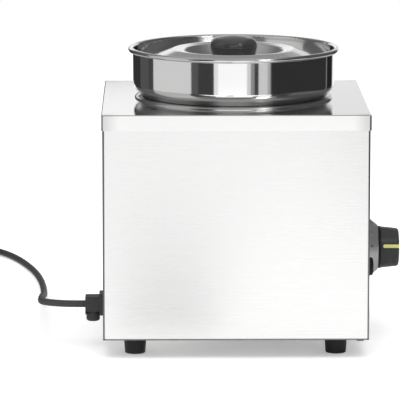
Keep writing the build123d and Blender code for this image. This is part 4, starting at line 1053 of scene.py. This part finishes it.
# %% Earth contacts
boot_length = 0.028
plug_radius = 0.0195
plug_middle = coil_end + exit_heading * (boot_length + plug_radius)
plug_middle.z = 0
plug_turn = math.atan2(exit_heading.y, exit_heading.x)
for side in (0, 1):
    contact = new_box(f"earth_contact_{side}", (0.0009, 0.0055, 0.0065), (plug_radius + 0.0002, 0, 0.0178))
    pick_faces(contact, lambda face: face.normal.z > 0.9)
    bpy.ops.mesh.extrude_region_move(TRANSFORM_OT_translate={"value": (-0.0018, 0, 0.0031)})
    bpy.ops.mesh.extrude_region_move(TRANSFORM_OT_translate={"value": (-0.0032, 0, 0.0005)})
    bpy.ops.object.mode_set(mode="OBJECT")
    apply_modifier(contact, "BEVEL", width=0.0002, segments=2, limit_method="ANGLE")
    contact.rotation_euler = (0, 0, plug_turn + side * math.pi)
    contact.location = plug_middle
    finish_piece(contact, "pin_metal")

# %% [markdown]
# ## Seam at the back
# The casing is one sheet wrapped round four corners, so its ends meet somewhere, and a maker puts that seam
# where it is seen least. A narrow strip covers it, held by a row of low domed rivets. The strip is a box
# with its edges rounded; a rivet is a flattened half of a ball, cut from a sphere and pressed down.

# %% Seam strip
rear_face_y = 0.1315
seam_low = 0.0200
seam_high = 0.2262
seam_width = 0.016
seam_thick = 0.0007
seam_lift = 0.0003
seam = new_box("seam_strip", (seam_width, seam_thick, seam_high - seam_low))
pick_edges(seam, lambda start, end: abs(start.y - end.y) > 0.0003)
bpy.ops.mesh.bevel(offset=0.003, offset_type="OFFSET", segments=5, affect="EDGES")
bpy.ops.object.mode_set(mode="OBJECT")
apply_modifier(seam, "BEVEL", width=0.00025, segments=2, limit_method="ANGLE")
seam.location = (pot_axis_x, rear_face_y + seam_lift, (seam_low + seam_high) / 2)
finish_piece(seam, "wrap_steel")
print("strip faces:", len(seam.data.polygons))

# %% Rivets
rivet_count = 6
rivet_radius = 0.0026
rivet_flatness = 0.45
rivet_lift = 0.0006
rivet_margin = 0.010
rivet_low = seam_low + rivet_margin
rivet_step = (seam_high - seam_low - 2 * rivet_margin) / (rivet_count - 1)
for place in range(rivet_count):
    deselect()
    bpy.ops.mesh.primitive_uv_sphere_add(segments=32, ring_count=16, radius=rivet_radius)
    rivet = bpy.context.object
    rivet.name = f"seam_rivet_{place}"
    bpy.ops.object.mode_set(mode="EDIT")
    bpy.ops.mesh.select_all(action="SELECT")
    bpy.ops.mesh.bisect(plane_co=(0, 0, 0), plane_no=(0, 1, 0), clear_inner=True, use_fill=True)
    bpy.ops.mesh.select_all(action="SELECT")
    bpy.ops.transform.resize(value=(1, rivet_flatness, 1))
    bpy.ops.object.mode_set(mode="OBJECT")
    rivet.location = (pot_axis_x, rear_face_y + rivet_lift, rivet_low + place * rivet_step)
    finish_piece(rivet, "fastener_steel")
print("rivets:", rivet_count)

mains_cord.data.materials.append(finishes["cord_rubber"])
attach(mains_cord, "casing")
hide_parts("power_cord", "cord_coil")
